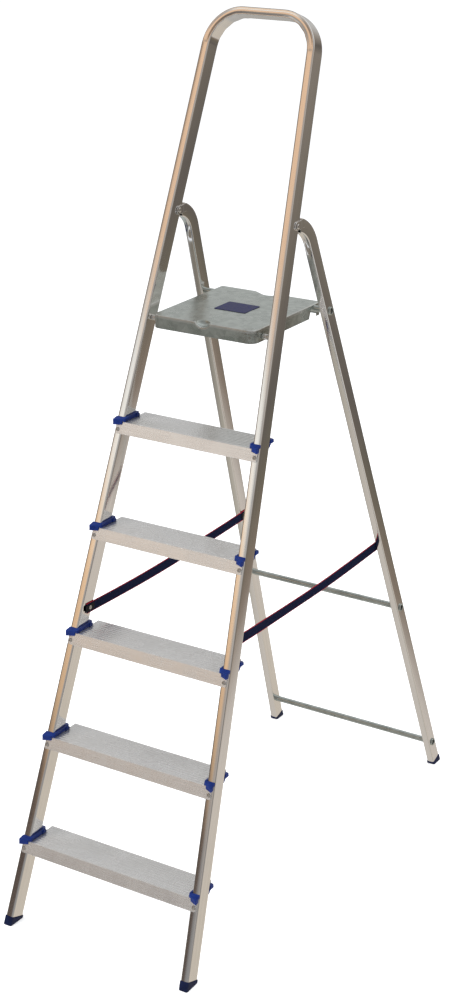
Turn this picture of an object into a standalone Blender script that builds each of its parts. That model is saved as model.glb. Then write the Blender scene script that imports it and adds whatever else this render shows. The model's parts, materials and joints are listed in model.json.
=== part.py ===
"""Folding household step ladder: five treads, a pressed platform and a hoop handrail.

The front frame is one rectangular tube bent to a hoop. Two rear legs hang from rivets near
its top, tied by two crossbars and by the rod that carries the platform. X is the width,
-Y the climbing side, Z up; the origin is midway between the feet, on the floor.
"""

import math

import bmesh
import bpy
from mathutils import Matrix, Vector

# ---- Driving dimensions, in metres unless a name says degrees ----
FIT = 0.0003  # gap between pieces that touch
BASE_DEPTH = 1.221  # over the feet, opened
SEGMENTS = 16  # around a small turned piece
PAST = 0.12  # how far a cutter or a trimmed block runs past what it meets

# Front frame
STILE_TILT_DEGREES = 19.8
STILE_SPREAD = 0.500  # over the stiles' outer faces, at the floor
STILE_LEAN = 0.055  # inward, per metre of height
STILE_WIDTH = 0.020
STILE_DEPTH = 0.040
STILE_WALL = 0.0015
STILE_CORNER = 0.0025
HOOP_SLOPE_LENGTH = 2.129  # floor to the hoop's top, along the slope
HOOP_RADIUS = 0.083  # at the tube's centre
HOOP_STEPS = 12

# Rear frame
LEG_WIDTH = 0.019
LEG_DEPTH = 0.033
LEG_WALL = 0.0014
LEG_LEAN = 0.0566
LEG_OFFSET = 0.0516  # from the pivot to the straight leg's centre line
LEG_BEND_RADIUS = 0.075
LEG_BEND_STEPS = 10
PIVOT_SLOPE_LENGTH = 1.668  # floor to the leg pivots, along the slope
PIVOT_EDGE = 0.0115  # from the pivot to the stile's rear face
EAR_THICKNESS = 0.002
EAR_CLEARANCE = 0.0008
EAR_RADIUS = 0.0095
EAR_HALF_WIDTH = 0.0091
EAR_STEP = 0.0001  # the round end stands this far proud, so no two faces coincide
EAR_LENGTH = 0.034
BAR_DIAMETER = 0.015
BAR_WALL = 0.0012
BAR_HEIGHTS = {"crossbar_lower": 0.070, "crossbar_upper": 0.510}
BAR_FLARE = 0.0022  # how far a rolled end stands over the bar
BAR_PROTRUSION = 0.0035

# Feet
FOOT_LIP = 0.0015
FOOT_LEAST_HEIGHT = 0.007
FOOT_PLUG = 0.022  # up inside the tube
FOOT_PLUG_ROOT = 0.003  # where the plug joins the wedge

# Treads
TREAD_COUNT = 5
TREAD_RISE = 0.230
FIRST_TREAD_HEIGHT = 0.190
TREAD_DEPTH = 0.085
TREAD_PLATE = 0.0020
TREAD_RIB_HEIGHT = 0.0010
TREAD_RIBS = 9
TREAD_LAND = 0.003  # plain strip along each edge
FASCIA_ABOVE_RIVET = 0.018
FASCIA_BELOW_RIVET = 0.009
FASCIA_END_GAP = 0.0045  # from the fascia's end to the stile's outer face
TREAD_END_GAP = 0.0010
TREAD_REAR_FLANGE = 0.014

# Tread end caps
CAP_HEIGHT = 0.0105  # above the tread
CAP_NOSE = 0.0160  # ahead of the stile
CAP_TAIL = 0.0200  # behind the stile
CAP_STRIP = 0.0050  # along the stile's inner face
CAP_NOSE_DROP = 0.0060  # how far the nose hangs over the fascia
CAP_TAIL_DROP = 0.0100
CAP_WEDGE_WIDTH = 0.0140
CAP_LIP_STEP = 0.0010
CAP_ROUND = 0.0030  # size of the corner cuts
CAP_INSIDE = 0.0035

# Platform
PLATFORM_HEIGHT = 1.350
PLATFORM_WIDTH = 0.266
PLATFORM_SHEET = 0.0014
PLATFORM_FLANGE = 0.030
PLATFORM_FRONT = 0.037  # ahead of the pins
PLATFORM_REAR = 0.031  # behind the rod
PLATFORM_EDGE_RADIUS = 0.003
FRONT_CORNER_RADIUS = 0.020
REAR_CORNER_RADIUS = 0.009
HAND_NOTCH_WIDTH = 0.092
HAND_NOTCH_DEPTH = 0.019
SCOOP_RADIUS = 0.0185
SCOOP_DEPTH = 0.0105
PIN_DROP = 0.019
PIN_RADIUS = 0.004
PIN_SPACER_RADIUS = 0.0065
PIN_ENTRY = 0.004  # past the wall at each end
PIN_PLAY = 0.0008
ROD_CLEARANCE = 0.003
ROD_RELIEF = 0.026  # slot ahead of the rod, below the flange's lower edge
LABEL_WIDTH = 0.082
LABEL_LENGTH = 0.067
LABEL_THICKNESS = 0.0006
LABEL_FROM_FRONT = 0.112

# Straps and rivets
STRAP_HEIGHT = 0.697
STRAP_WIDTH = 0.025
STRAP_THICKNESS = 0.0014
STRAP_SAG = 0.007
STRAP_STAND_OFF = 0.0011  # from the tube's face
STRAP_FRONT_INSET = 0.014  # from the stile's rear face
STRAP_REAR_INSET = 0.012  # from the leg's front face
STRAP_END = 0.012  # webbing past each rivet
TAB_LENGTH = 0.032
TAB_WIDTH = 0.015
TAB_THICKNESS = 0.0010
SHEET_CORNER = 0.002  # on the tabs and the label
RIVET_RADIUS = 0.0048
RIVET_DOME = 0.0018
RIVET_SHANK = 0.0022
RIVET_TAIL = 0.0020  # shank past the last wall
PIVOT_RIVET_RADIUS = 0.0060
PIVOT_RIVET_DOME = 0.0026
PIVOT_SHANK = 0.0036
PIVOT_PLAY = 0.0008  # under each head of a pivot rivet
HOLE_CLEARANCE = 0.0004

# ---- Values worked out from them ----
TILT = math.radians(STILE_TILT_DEGREES)
SIN_TILT, COS_TILT, TAN_TILT = math.sin(TILT), math.cos(TILT), math.tan(TILT)
FRONT_FLOOR_Y = -BASE_DEPTH / 2 + FOOT_LIP / COS_TILT
BAR_RADIUS = BAR_DIAMETER / 2
SIDES = {"left": -1, "right": 1}


def front_y(height):
    """Y of the stiles' front face at a height."""
    return FRONT_FLOOR_Y + TAN_TILT * height


def stile_outer_x(height, behind=0):
    """Half-width over the stiles' outer faces, at a height and a distance behind the front face."""
    return STILE_SPREAD / 2 - STILE_LEAN * (height + behind * SIN_TILT * COS_TILT)


def frame_point(x, slope, ahead):
    """A point by its place along the slope and its distance ahead of the front face."""
    y = FRONT_FLOOR_Y + slope * SIN_TILT - ahead * COS_TILT
    return Vector((x, y, slope * COS_TILT + ahead * SIN_TILT))


PIVOT = frame_point(0, PIVOT_SLOPE_LENGTH, -(STILE_DEPTH - PIVOT_EDGE))
PIVOT_X = stile_outer_x(PIVOT.z, PIVOT.y - front_y(PIVOT.z)) - STILE_WIDTH / 2
# in the leg's own leaning plane: the pivot's height over the floor, and the rear foot's reach
LEG_DROP = PIVOT.z * math.hypot(1, LEG_LEAN)
LEG_REACH = BASE_DEPTH / 2 - PIVOT.y
LEG_REAR = LEG_OFFSET + LEG_DEPTH / 2 + FOOT_LIP
LEG_TILT = math.acos(LEG_REAR / math.hypot(LEG_REACH, LEG_DROP)) - math.atan2(LEG_DROP, LEG_REACH)
ROD_HEIGHT = PLATFORM_HEIGHT - PLATFORM_SHEET - FIT - BAR_RADIUS


def leg_center_y(height):
    """Y of a straight rear leg's centre line at a height."""
    drop = (PIVOT.z - height) * math.hypot(1, LEG_LEAN)
    return PIVOT.y + LEG_OFFSET / math.cos(LEG_TILT) + drop * math.tan(LEG_TILT)


def leg_center_x(height):
    """Half-width between the rear legs' centre lines at a height."""
    return PIVOT_X + LEG_LEAN * (PIVOT.z - height)


PIN_HEIGHT = PLATFORM_HEIGHT - PIN_DROP
PIN_Y = front_y(PIN_HEIGHT) + STILE_DEPTH / 2 / COS_TILT
ROD_Y = leg_center_y(ROD_HEIGHT)
PLATFORM_FRONT_Y = PIN_Y - PLATFORM_FRONT
PLATFORM_REAR_Y = ROD_Y + PLATFORM_REAR
STILE_END_SLOPE = (FOOT_LEAST_HEIGHT + STILE_DEPTH * SIN_TILT) / COS_TILT

# ---- Axes that the pieces are built on ----
UPRIGHT_TO_SLOPE = Matrix.Rotation(math.pi / 2 - TILT, 4, "X")
FRAME = Matrix.Translation(frame_point(0, 0, -STILE_DEPTH / 2)) @ UPRIGHT_TO_SLOPE
PROFILE_TO_X = Matrix(((0, 0, 1, 0), (1, 0, 0, 0), (0, 1, 0, 0), (0, 0, 0, 1)))


def at(point):
    return Matrix.Translation(Vector(point))


def stile_axes(side, height):
    """Axes on a stile's centre line: X across its width, Y up along it, Z out of its front."""
    up = Vector((-side * STILE_LEAN, TAN_TILT, 1)).normalized()
    ahead = Vector((0, -COS_TILT, SIN_TILT))
    across = up.cross(ahead)
    center = Vector((side * (stile_outer_x(height) - STILE_WIDTH / 2), front_y(height), height))
    center -= ahead * STILE_DEPTH / 2
    return at(center) @ Matrix((across, up, ahead)).transposed().to_4x4()


def leg_axes(side):
    """Axes at a leg's pivot: X rearward, Y up along the lean, Z across the leg."""
    up = Vector((-side * LEG_LEAN, 0, 1)).normalized()
    back = Vector((0, 1, 0))
    turn = Matrix((back, up, back.cross(up))).transposed().to_4x4()
    return at((side * PIVOT_X, PIVOT.y, PIVOT.z)) @ turn


# ---- Scene and small tools ----
def new_collection(name):
    group = bpy.data.collections.new(name)
    bpy.context.scene.collection.children.link(group)
    return group


def material(name, colour, roughness, metallic):
    made = bpy.data.materials.new(name)
    made.use_nodes = True
    shader = made.node_tree.nodes["Principled BSDF"]
    shader.inputs["Base Color"].default_value = (*colour, 1)
    shader.inputs["Roughness"].default_value = roughness
    shader.inputs["Metallic"].default_value = metallic
    return made


for leftover in list(bpy.data.objects):
    bpy.data.objects.remove(leftover)
PARTS = new_collection("step_ladder")
CUTTERS = new_collection("cutters")
ALUMINIUM = material("mill aluminium", (0.62, 0.59, 0.55), 0.35, 1.0)
TREAD_ALUMINIUM = material("ribbed aluminium", (0.70, 0.69, 0.67), 0.38, 1.0)
GALVANISED = material("galvanised steel", (0.48, 0.51, 0.49), 0.42, 1.0)
STEEL = material("rivet steel", (0.55, 0.55, 0.54), 0.3, 1.0)
BLUE_PLASTIC = material("blue plastic", (0.012, 0.035, 0.22), 0.4, 0.0)
NAVY_RUBBER = material("navy foot plastic", (0.008, 0.010, 0.028), 0.55, 0.0)
LABEL_BLUE = material("label blue", (0.018, 0.02, 0.11), 0.35, 0.0)
WEBBING = material("navy webbing", (0.010, 0.012, 0.03), 0.85, 0.0)
TAB_BLACK = material("black tab", (0.01, 0.01, 0.012), 0.5, 0.0)


def add_piece(name, mesh, finish, matrix=None, smooth=False):
    piece = bpy.data.objects.new(name, mesh)
    mesh.materials.clear()
    mesh.materials.append(finish)
    if matrix is not None:
        piece.matrix_world = matrix
    PARTS.objects.link(piece)
    if smooth:
        mesh.shade_smooth()
        mesh.set_sharp_from_angle(angle=math.radians(35))
    return piece


def cutter(name, mesh, matrix):
    tool = bpy.data.objects.new(name, mesh)
    tool.matrix_world = matrix
    tool.hide_render = True
    tool.display_type = "WIRE"
    CUTTERS.objects.link(tool)
    return tool


def cut(piece, tool, operation="DIFFERENCE"):
    step = piece.modifiers.new(tool.name, "BOOLEAN")
    step.operation = operation
    step.object = tool


def box_mesh(name, low, high):
    """A box between two corners."""
    low, high = Vector(low), Vector(high)
    shape = bmesh.new()
    bmesh.ops.create_cube(shape, size=1)
    size = high - low
    place = at((low + high) / 2) @ Matrix.Diagonal((*size, 1))
    bmesh.ops.transform(shape, matrix=place, verts=shape.verts)
    return finish_mesh(name, shape)


def rod_mesh(name, radius, start, end, segments=SEGMENTS):
    """A plain cylinder along X, from start to end."""
    shape = bmesh.new()
    turn = at(((start + end) / 2, 0, 0)) @ Matrix.Rotation(math.pi / 2, 4, "Y")
    size = {"radius1": radius, "radius2": radius, "depth": end - start}
    bmesh.ops.create_cone(shape, cap_ends=True, segments=segments, matrix=turn, **size)
    return finish_mesh(name, shape)


def finish_mesh(name, shape):
    mesh = bpy.data.meshes.new(name)
    shape.to_mesh(mesh)
    shape.free()
    return mesh


def evaluated_mesh(name, source):
    """The mesh of a curve object, with its caps joined, and the curve removed."""
    bpy.context.view_layer.update()
    graph = bpy.context.evaluated_depsgraph_get()
    mesh = bpy.data.meshes.new_from_object(source.evaluated_get(graph))
    mesh.name = name
    bpy.data.objects.remove(source)
    shape = bmesh.new()
    shape.from_mesh(mesh)
    bmesh.ops.remove_doubles(shape, verts=shape.verts, dist=0.00001)
    bmesh.ops.recalc_face_normals(shape, faces=shape.faces)
    shape.to_mesh(mesh)
    shape.free()
    return mesh


def curve_object(name, outlines, cyclic):
    data = bpy.data.curves.new(name, "CURVE")
    data.dimensions = "2D"
    for outline in outlines:
        spline = data.splines.new("POLY")
        spline.points.add(len(outline) - 1)
        for point, place in zip(spline.points, outline):
            point.co = (place[0], place[1], 0, 1)
        spline.use_cyclic_u = cyclic
    made = bpy.data.objects.new(name, data)
    PARTS.objects.link(made)
    return made


def plate_mesh(name, outline, thickness):
    """A flat outline in the XY plane, thickened equally to both sides."""
    made = curve_object(name, [outline], True)
    made.data.fill_mode = "BOTH"
    made.data.extrude = thickness / 2
    return evaluated_mesh(name, made)


def rounded_rectangle(width, height, radius, steps=3):
    """Corner arcs of a rectangle centred on the origin, counter-clockwise."""
    points = []
    for quarter in range(4):
        across = 1 if quarter in (0, 3) else -1
        along = 1 if quarter < 2 else -1
        center = Vector((across * (width / 2 - radius), along * (height / 2 - radius)))
        for step in range(steps + 1):
            turn = math.radians(90) * (quarter + step / steps)
            points.append(center + radius * Vector((math.cos(turn), math.sin(turn))))
    return points


def tube_mesh(name, path, width, depth, corner):
    """The open skin of a rectangular tube swept along a path in the XY plane."""
    section = curve_object(name + " section", [rounded_rectangle(width, depth, corner, 2)], True)
    made = curve_object(name, [path], False)
    made.data.bevel_mode = "OBJECT"
    made.data.bevel_object = section
    made.data.use_fill_caps = False
    mesh = evaluated_mesh(name, made)
    bpy.data.objects.remove(section)
    return mesh


def hollow(piece, wall):
    shell = piece.modifiers.new("wall", "SOLIDIFY")
    shell.thickness = wall
    shell.offset = -1
    shell.use_even_offset = True


def turned(name, profile, finish, matrix, segments=SEGMENTS):
    """A profile of (along X, radius) points turned about the X axis."""
    shape = bmesh.new()
    points = [shape.verts.new((along, 0, radius)) for along, radius in profile]
    for first, second in zip(points, points[1:]):
        shape.edges.new((first, second))
    if profile[0][1] > 0:
        shape.edges.new((points[-1], points[0]))
    piece = add_piece(name, finish_mesh(name, shape), finish, matrix)
    spin = piece.modifiers.new("turn", "SCREW")
    spin.axis = "X"
    spin.steps = segments
    spin.render_steps = segments
    spin.use_merge_vertices = True
    spin.merge_threshold = 0.00001
    spin.use_smooth_shade = True
    return piece


def dome_profile(radius, height):
    """(along, radius) points of a domed head, from its crown to its rim."""
    turns = [math.pi / 2 * step / 3 for step in range(4)]
    return [(height * math.cos(turn), radius * math.sin(turn)) for turn in turns]


def domed_rivet(name, matrix, grip):
    """A rivet whose head sits on X = 0 and whose shank runs back along -X."""
    shank = [(0, RIVET_SHANK), (-grip, RIVET_SHANK), (-grip, 0)]
    turned(name, dome_profile(RIVET_RADIUS, RIVET_DOME) + shank, STEEL, matrix)


def hole(piece, name, radius, matrix, start, end):
    cut(piece, cutter(name, rod_mesh(name, radius, start, end), matrix))


# ---- Front frame ----
def stile_line(side, slope):
    """A stile's centre line in the frame's own plane, at a place along the slope."""
    return Vector((side * (STILE_SPREAD / 2 - STILE_WIDTH / 2 - STILE_LEAN * COS_TILT * slope), slope))


def hoop_path():
    """Left stile, bend, top bar, bend, right stile, in the frame's own plane."""
    lean = math.atan(STILE_LEAN * COS_TILT)
    top = HOOP_SLOPE_LENGTH - STILE_WIDTH / 2
    bend_y = top - HOOP_RADIUS
    # the bend's centre lies one radius inside the leaning stile
    start = stile_line(1, bend_y)
    center = Vector((start.x - HOOP_RADIUS / math.cos(lean), bend_y))
    right = [stile_line(1, STILE_END_SLOPE)]
    for step in range(HOOP_STEPS + 1):
        turn = lean + (math.pi / 2 - lean) * step / HOOP_STEPS
        right.append(center + HOOP_RADIUS * Vector((math.cos(turn), math.sin(turn))))
    left = [Vector((-point.x, point.y)) for point in right]
    return left + right[::-1]


def build_front_frame():
    skin = tube_mesh("front_frame", hoop_path(), STILE_WIDTH, STILE_DEPTH, STILE_CORNER)
    piece = add_piece("front_frame", skin, ALUMINIUM, FRAME, smooth=True)
    hollow(piece, STILE_WALL)
    return piece


def trim(shape, point, normal):
    """Keeps the side of a plane that the normal points to, and closes the cut."""
    whole = shape.verts[:] + shape.edges[:] + shape.faces[:]
    made = bmesh.ops.bisect_plane(shape, geom=whole, plane_co=point, plane_no=normal, clear_inner=True)
    edges = [item for item in made["geom_cut"] if isinstance(item, bmesh.types.BMEdge)]
    bmesh.ops.contextual_create(shape, geom=edges)
    bmesh.ops.recalc_face_normals(shape, faces=shape.faces)


def build_foot(name, axes, width, depth):
    """A wedge under a tube's end, with a plug inside it, cut level with the floor.

    The axes stand on the tube's end, with Y up the tube and Z along its depth.
    """
    shape = bmesh.new()
    bmesh.ops.create_cube(shape, size=1)
    block = (width + 2 * FOOT_LIP, PAST, depth + 2 * FOOT_LIP)
    place = axes @ at((0, -FIT - PAST / 2, 0)) @ Matrix.Diagonal((*block, 1))
    bmesh.ops.transform(shape, matrix=place, verts=shape.verts)
    trim(shape, (0, 0, 0), (0, 0, 1))
    foot = add_piece(name, finish_mesh(name, shape), NAVY_RUBBER)
    inset = max(STILE_WALL, LEG_WALL) + 2 * FIT
    half_width, half_depth = width / 2 - inset, depth / 2 - inset
    plug = box_mesh(
        name + " plug", (-half_width, -FOOT_PLUG_ROOT, -half_depth), (half_width, FOOT_PLUG, half_depth)
    )
    cut(foot, cutter(name + " plug", plug, axes), "UNION")


# ---- Treads, end caps and their rivets ----
def rivet_height(index):
    return FIRST_TREAD_HEIGHT - FASCIA_ABOVE_RIVET + index * TREAD_RISE


def tread_profile():
    """Section of the tread in (Y, Z), from the stile's front face at the rivet."""
    skin = 2 * FIT
    outer = -(skin + TREAD_PLATE) / COS_TILT
    inner = -skin / COS_TILT
    top, bottom = FASCIA_ABOVE_RIVET, -FASCIA_BELOW_RIVET
    plate = top - TREAD_PLATE
    front = outer + TAN_TILT * top
    rear = front + TREAD_DEPTH
    points = [(outer + TAN_TILT * bottom, bottom), (inner + TAN_TILT * bottom, bottom)]
    points += [(inner + TAN_TILT * plate, plate), (rear - TREAD_PLATE, plate)]
    points += [(rear - TREAD_PLATE, top - TREAD_REAR_FLANGE), (rear, top - TREAD_REAR_FLANGE), (rear, top)]
    pitch = (TREAD_DEPTH - 2 * TREAD_LAND) / TREAD_RIBS
    for rib in reversed(range(TREAD_RIBS)):
        start = front + TREAD_LAND + rib * pitch
        points += [(start + 0.8 * pitch, top), (start + 0.8 * pitch, top - TREAD_RIB_HEIGHT)]
        points += [(start + 0.2 * pitch, top - TREAD_RIB_HEIGHT), (start + 0.2 * pitch, top)]
    return points + [(front, top)]


def build_tread(index):
    name = f"tread_{index + 1}"
    height = rivet_height(index)
    reach = stile_outer_x(height) - FASCIA_END_GAP
    mesh = plate_mesh(name, tread_profile(), 2 * reach)
    tread = add_piece(name, mesh, TREAD_ALUMINIUM, at((0, front_y(height), height)) @ PROFILE_TO_X)
    rear_inner = stile_outer_x(height + FASCIA_ABOVE_RIVET, STILE_DEPTH / COS_TILT) - STILE_WIDTH
    start = rear_inner - TREAD_END_GAP
    turn = at(frame_point(0, height / COS_TILT, -STILE_DEPTH / 2)) @ UPRIGHT_TO_SLOPE
    for label, side in SIDES.items():
        far = (start + PAST, PAST, STILE_DEPTH / 2 + FIT)
        slot = box_mesh(f"{name} {label}", (start, -PAST, -PAST), far)
        mirror = Matrix.Rotation(0 if side > 0 else math.pi, 4, "Z")
        cut(tread, cutter(f"{name} {label}", slot, turn @ mirror))
    return tread


def cap_outline(height):
    """Plan of a right-hand end cap at the tread's top, counter-clockwise from behind the nose."""
    outer = stile_outer_x(height)
    inner = outer - STILE_WIDTH - CAP_STRIP
    front, rear = front_y(height), front_y(height) + STILE_DEPTH / COS_TILT
    tail, nose = rear + CAP_TAIL, front - CAP_NOSE
    inside = outer - CAP_INSIDE  # hidden by the stile, which is cut away
    return [
        (inside, front + CAP_ROUND),
        (inside, rear - CAP_ROUND),
        (outer - CAP_ROUND / 2, tail - 2 * CAP_ROUND),
        (outer - 2 * CAP_ROUND, tail),
        (inner + CAP_ROUND, tail),
        (inner, tail - CAP_ROUND),
        (inner, front + CAP_ROUND),
        (inner + CAP_ROUND, front - CAP_ROUND),
        (outer - 1.5 * CAP_ROUND, nose),
        (outer, nose + CAP_ROUND),
        (outer + CAP_ROUND / 2, nose + 2.5 * CAP_ROUND),
    ]


def lip_outline(height):
    """Plan of the nose's lower step, which hangs over the fascia."""
    outer, front = stile_outer_x(height), front_y(height)
    back = front - (TREAD_PLATE + 4 * FIT) / COS_TILT - CAP_NOSE_DROP * TAN_TILT
    tip = front - CAP_NOSE + CAP_ROUND
    inner = outer - STILE_WIDTH + CAP_STRIP
    edge = outer - CAP_LIP_STEP
    return [(edge, back), (inner, back), (outer - 2 * CAP_ROUND, tip), (edge, tip)]


def build_cap(index, label, side):
    """End cap: a C around the stile on the tread's top, with a nose lip and a tail wedge."""
    name = f"tread_cap_{index + 1}_{label}"
    top = rivet_height(index) + FASCIA_ABOVE_RIVET
    outer = stile_outer_x(top)
    rear = front_y(top) + STILE_DEPTH / COS_TILT
    low, high = top + FIT, top + CAP_HEIGHT
    joint = high - CAP_ROUND
    outline = [(side * x, y) for x, y in cap_outline(top)]
    middle = at((0, 0, (low + high) / 2))
    cap = add_piece(name, plate_mesh(name, outline, high - low), BLUE_PLASTIC, middle)
    lip_low = top - CAP_NOSE_DROP
    lip = plate_mesh(name + " lip", [(side * x, y) for x, y in lip_outline(top)], joint - lip_low)
    cut(cap, cutter(name + " lip", lip, at((0, 0, (lip_low + joint) / 2))), "UNION")
    root = rear - 2.5 * CAP_ROUND
    wedge = [(root, top - CAP_TAIL_DROP), (root, joint), (rear + CAP_TAIL - CAP_ROUND, joint)]
    mesh = plate_mesh(name + " wedge", wedge, CAP_WEDGE_WIDTH)
    place = at((side * (outer - STILE_WIDTH / 2), 0, 0)) @ PROFILE_TO_X
    cut(cap, cutter(name + " wedge", mesh, place), "UNION")
    half_width, half_depth = STILE_WIDTH / 2 + FIT, STILE_DEPTH / 2 + FIT
    stile = box_mesh(name + " stile", (-half_width, -PAST, -half_depth), (half_width, PAST, half_depth))
    cut(cap, cutter(name + " stile", stile, stile_axes(side, top)))


def build_tread_rivet(index, label, side, frame, tread):
    name = f"tread_rivet_{index + 1}_{label}"
    height = rivet_height(index)
    surface = 2 * FIT + TREAD_PLATE + FIT
    x = side * (stile_outer_x(height) - STILE_WIDTH / 2)
    turn = UPRIGHT_TO_SLOPE @ Matrix.Rotation(-math.pi / 2, 4, "Y")
    place = at(frame_point(x, height / COS_TILT, surface)) @ turn
    grip = surface + STILE_WALL + RIVET_TAIL
    domed_rivet(name, place, grip)
    for piece in (frame, tread):
        hole(piece, name + " hole", RIVET_SHANK + HOLE_CLEARANCE, place, -2 * grip, RIVET_DOME)


# ---- Rear frame ----
def leg_path():
    """Centre line from the foot to the pivot, in the leg's own plane."""
    down = Vector((math.sin(LEG_TILT), -math.cos(LEG_TILT)))
    back = Vector((math.cos(LEG_TILT), math.sin(LEG_TILT)))
    along = math.sqrt(2 * LEG_BEND_RADIUS * LEG_OFFSET - LEG_OFFSET**2)
    sweep = math.atan2(along, LEG_BEND_RADIUS - LEG_OFFSET)
    center = LEG_OFFSET * back + along * down - LEG_BEND_RADIUS * back
    least = FOOT_LEAST_HEIGHT + LEG_DEPTH * math.sin(LEG_TILT) / 2
    reach = (LEG_DROP - least + LEG_OFFSET * math.sin(LEG_TILT)) / math.cos(LEG_TILT)
    points = [LEG_OFFSET * back + reach * down]
    for step in range(LEG_BEND_STEPS + 1):
        turn = sweep * step / LEG_BEND_STEPS
        points.append(center + LEG_BEND_RADIUS * (math.cos(turn) * back - math.sin(turn) * down))
    return points, sweep


def build_leg(label, side):
    name = f"rear_leg_{label}"
    path, sweep = leg_path()
    axes = leg_axes(side)
    skin = tube_mesh(name, path, LEG_DEPTH, LEG_WIDTH, STILE_CORNER)
    leg = add_piece(name, skin, ALUMINIUM, axes, smooth=True)
    hollow(leg, LEG_WALL)
    # ears: plates beside the tube's end, running on to the pivot with a round end
    inside, gap = LEG_WIDTH / 2 - LEG_WALL / 2, STILE_WIDTH / 2 + EAR_CLEARANCE
    entry = axes @ Matrix.Rotation(LEG_TILT + sweep - math.pi / 2, 4, "Z")
    to_z = Matrix.Rotation(-math.pi / 2, 4, "Y")
    for face in (-1, 1):
        low, high = sorted((face * inside, face * (gap + EAR_THICKNESS)))
        plate = box_mesh(name + " ear", (0, -EAR_HALF_WIDTH, low), (EAR_LENGTH, EAR_HALF_WIDTH, high))
        cut(leg, cutter(name + " ear", plate, entry), "UNION")
        disc = rod_mesh(name + " ear end", EAR_RADIUS, low - EAR_STEP, high + EAR_STEP, 24)
        cut(leg, cutter(name + " ear end", disc, axes @ to_z), "UNION")
    for swing in (0, TILT + LEG_TILT):
        slot = box_mesh(name + " slot", (-PAST, -PAST, -gap), (PIVOT_EDGE + EAR_CLEARANCE, PAST, gap))
        cut(leg, cutter(name + " slot", slot, axes @ Matrix.Rotation(swing - TILT, 4, "Z")))
    pivot = at((side * PIVOT_X, PIVOT.y, PIVOT.z))
    hole(leg, name + " pivot hole", PIVOT_SHANK + HOLE_CLEARANCE, pivot, -PAST, PAST)
    return leg


def build_pivot_rivet(label, side, frame):
    name = f"pivot_rivet_{label}"
    half = STILE_WIDTH / 2 + EAR_CLEARANCE + EAR_THICKNESS + PIVOT_PLAY
    head = [(half + along, radius) for along, radius in dome_profile(PIVOT_RIVET_RADIUS, PIVOT_RIVET_DOME)]
    head += [(half, PIVOT_SHANK)]
    profile = head + [(-along, radius) for along, radius in reversed(head)]
    place = at((side * PIVOT_X, PIVOT.y, PIVOT.z))
    turned(name, profile, STEEL, place)
    hole(frame, name + " hole", PIVOT_SHANK + HOLE_CLEARANCE, place, -STILE_WIDTH, STILE_WIDTH)


def build_bar(name, height, legs):
    """A tube across both legs with its ends rolled outwards."""
    half = leg_center_x(height) + LEG_WIDTH / 2
    end, bore, lip = half + BAR_PROTRUSION, BAR_RADIUS - BAR_WALL, BAR_RADIUS + BAR_FLARE
    right = [(half + BAR_WALL, BAR_RADIUS), (half + 2 * BAR_WALL, lip), (end, lip)]
    right += [(end, lip - BAR_WALL), (half + 1.5 * BAR_WALL, bore)]
    left = [(-along, radius) for along, radius in right]
    place = at((0, leg_center_y(height), height))
    turned(name, left + right[::-1], GALVANISED, place, 20)
    for leg in legs:
        hole(leg, name + " hole", BAR_RADIUS + HOLE_CLEARANCE, place, -end - PAST, end + PAST)


# ---- Platform ----
def arc(center, radius, start, end, steps):
    turns = [math.radians(start + (end - start) * step / steps) for step in range(steps + 1)]
    return [(center[0] + radius * math.cos(turn), center[1] + radius * math.sin(turn)) for turn in turns]


def platform_outline():
    """Plan of the tray, counter-clockwise from the front, with the hand notch at the rear."""
    half, front, rear = PLATFORM_WIDTH / 2, PLATFORM_FRONT_Y, PLATFORM_REAR_Y
    big, small = FRONT_CORNER_RADIUS, REAR_CORNER_RADIUS
    steps = 10
    points = arc((half - big, front + big), big, -90, 0, 5)
    points += arc((half - small, rear - small), small, 0, 90, 3)
    for step in range(steps + 1):
        share = 1 - 2 * step / steps
        dip = HAND_NOTCH_DEPTH * (1 + math.cos(math.pi * share)) / 2
        points.append((share * HAND_NOTCH_WIDTH / 2, rear - dip))
    points += arc((-half + small, rear - small), small, 90, 180, 3)
    points += arc((-half + big, front + big), big, 180, 270, 5)
    return points


def build_platform():
    outline = platform_outline()
    shape = bmesh.new()
    face = shape.faces.new([shape.verts.new((x, y, PLATFORM_HEIGHT)) for x, y in outline])
    rim = face.edges[:]
    walls = bmesh.ops.extrude_edge_only(shape, edges=rim)
    lower = [item for item in walls["geom"] if isinstance(item, bmesh.types.BMVert)]
    bmesh.ops.translate(shape, verts=lower, vec=(0, 0, -PLATFORM_FLANGE))
    bmesh.ops.recalc_face_normals(shape, faces=shape.faces)
    platform = add_piece("platform", finish_mesh("platform", shape), GALVANISED)
    rounding = platform.modifiers.new("pressed edge", "BEVEL")
    rounding.width = PLATFORM_EDGE_RADIUS
    rounding.segments = 2
    rounding.limit_method = "ANGLE"
    rounding.angle_limit = math.radians(60)
    hollow(platform, PLATFORM_SHEET)
    add_scoop(platform)
    for side in SIDES.values():
        wall_x = side * PLATFORM_WIDTH / 2
        closed, opening = ROD_HEIGHT + BAR_RADIUS + FIT / 2, PLATFORM_HEIGHT - 1.5 * PLATFORM_FLANGE
        rear = ROD_Y + BAR_RADIUS + ROD_CLEARANCE
        slot = [(rear, closed), (ROD_Y - BAR_RADIUS - ROD_CLEARANCE, closed)]
        slot += [(ROD_Y - ROD_RELIEF, opening), (rear, opening)]
        mesh = plate_mesh("rod slot", slot, 2 * REAR_CORNER_RADIUS)
        cut(platform, cutter("rod slot", mesh, at((wall_x, 0, 0)) @ PROFILE_TO_X))
        through = 2 * PLATFORM_SHEET
        pin = at((wall_x, PIN_Y, PIN_HEIGHT))
        hole(platform, "pin hole", PIN_RADIUS + HOLE_CLEARANCE, pin, -through, through)


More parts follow.
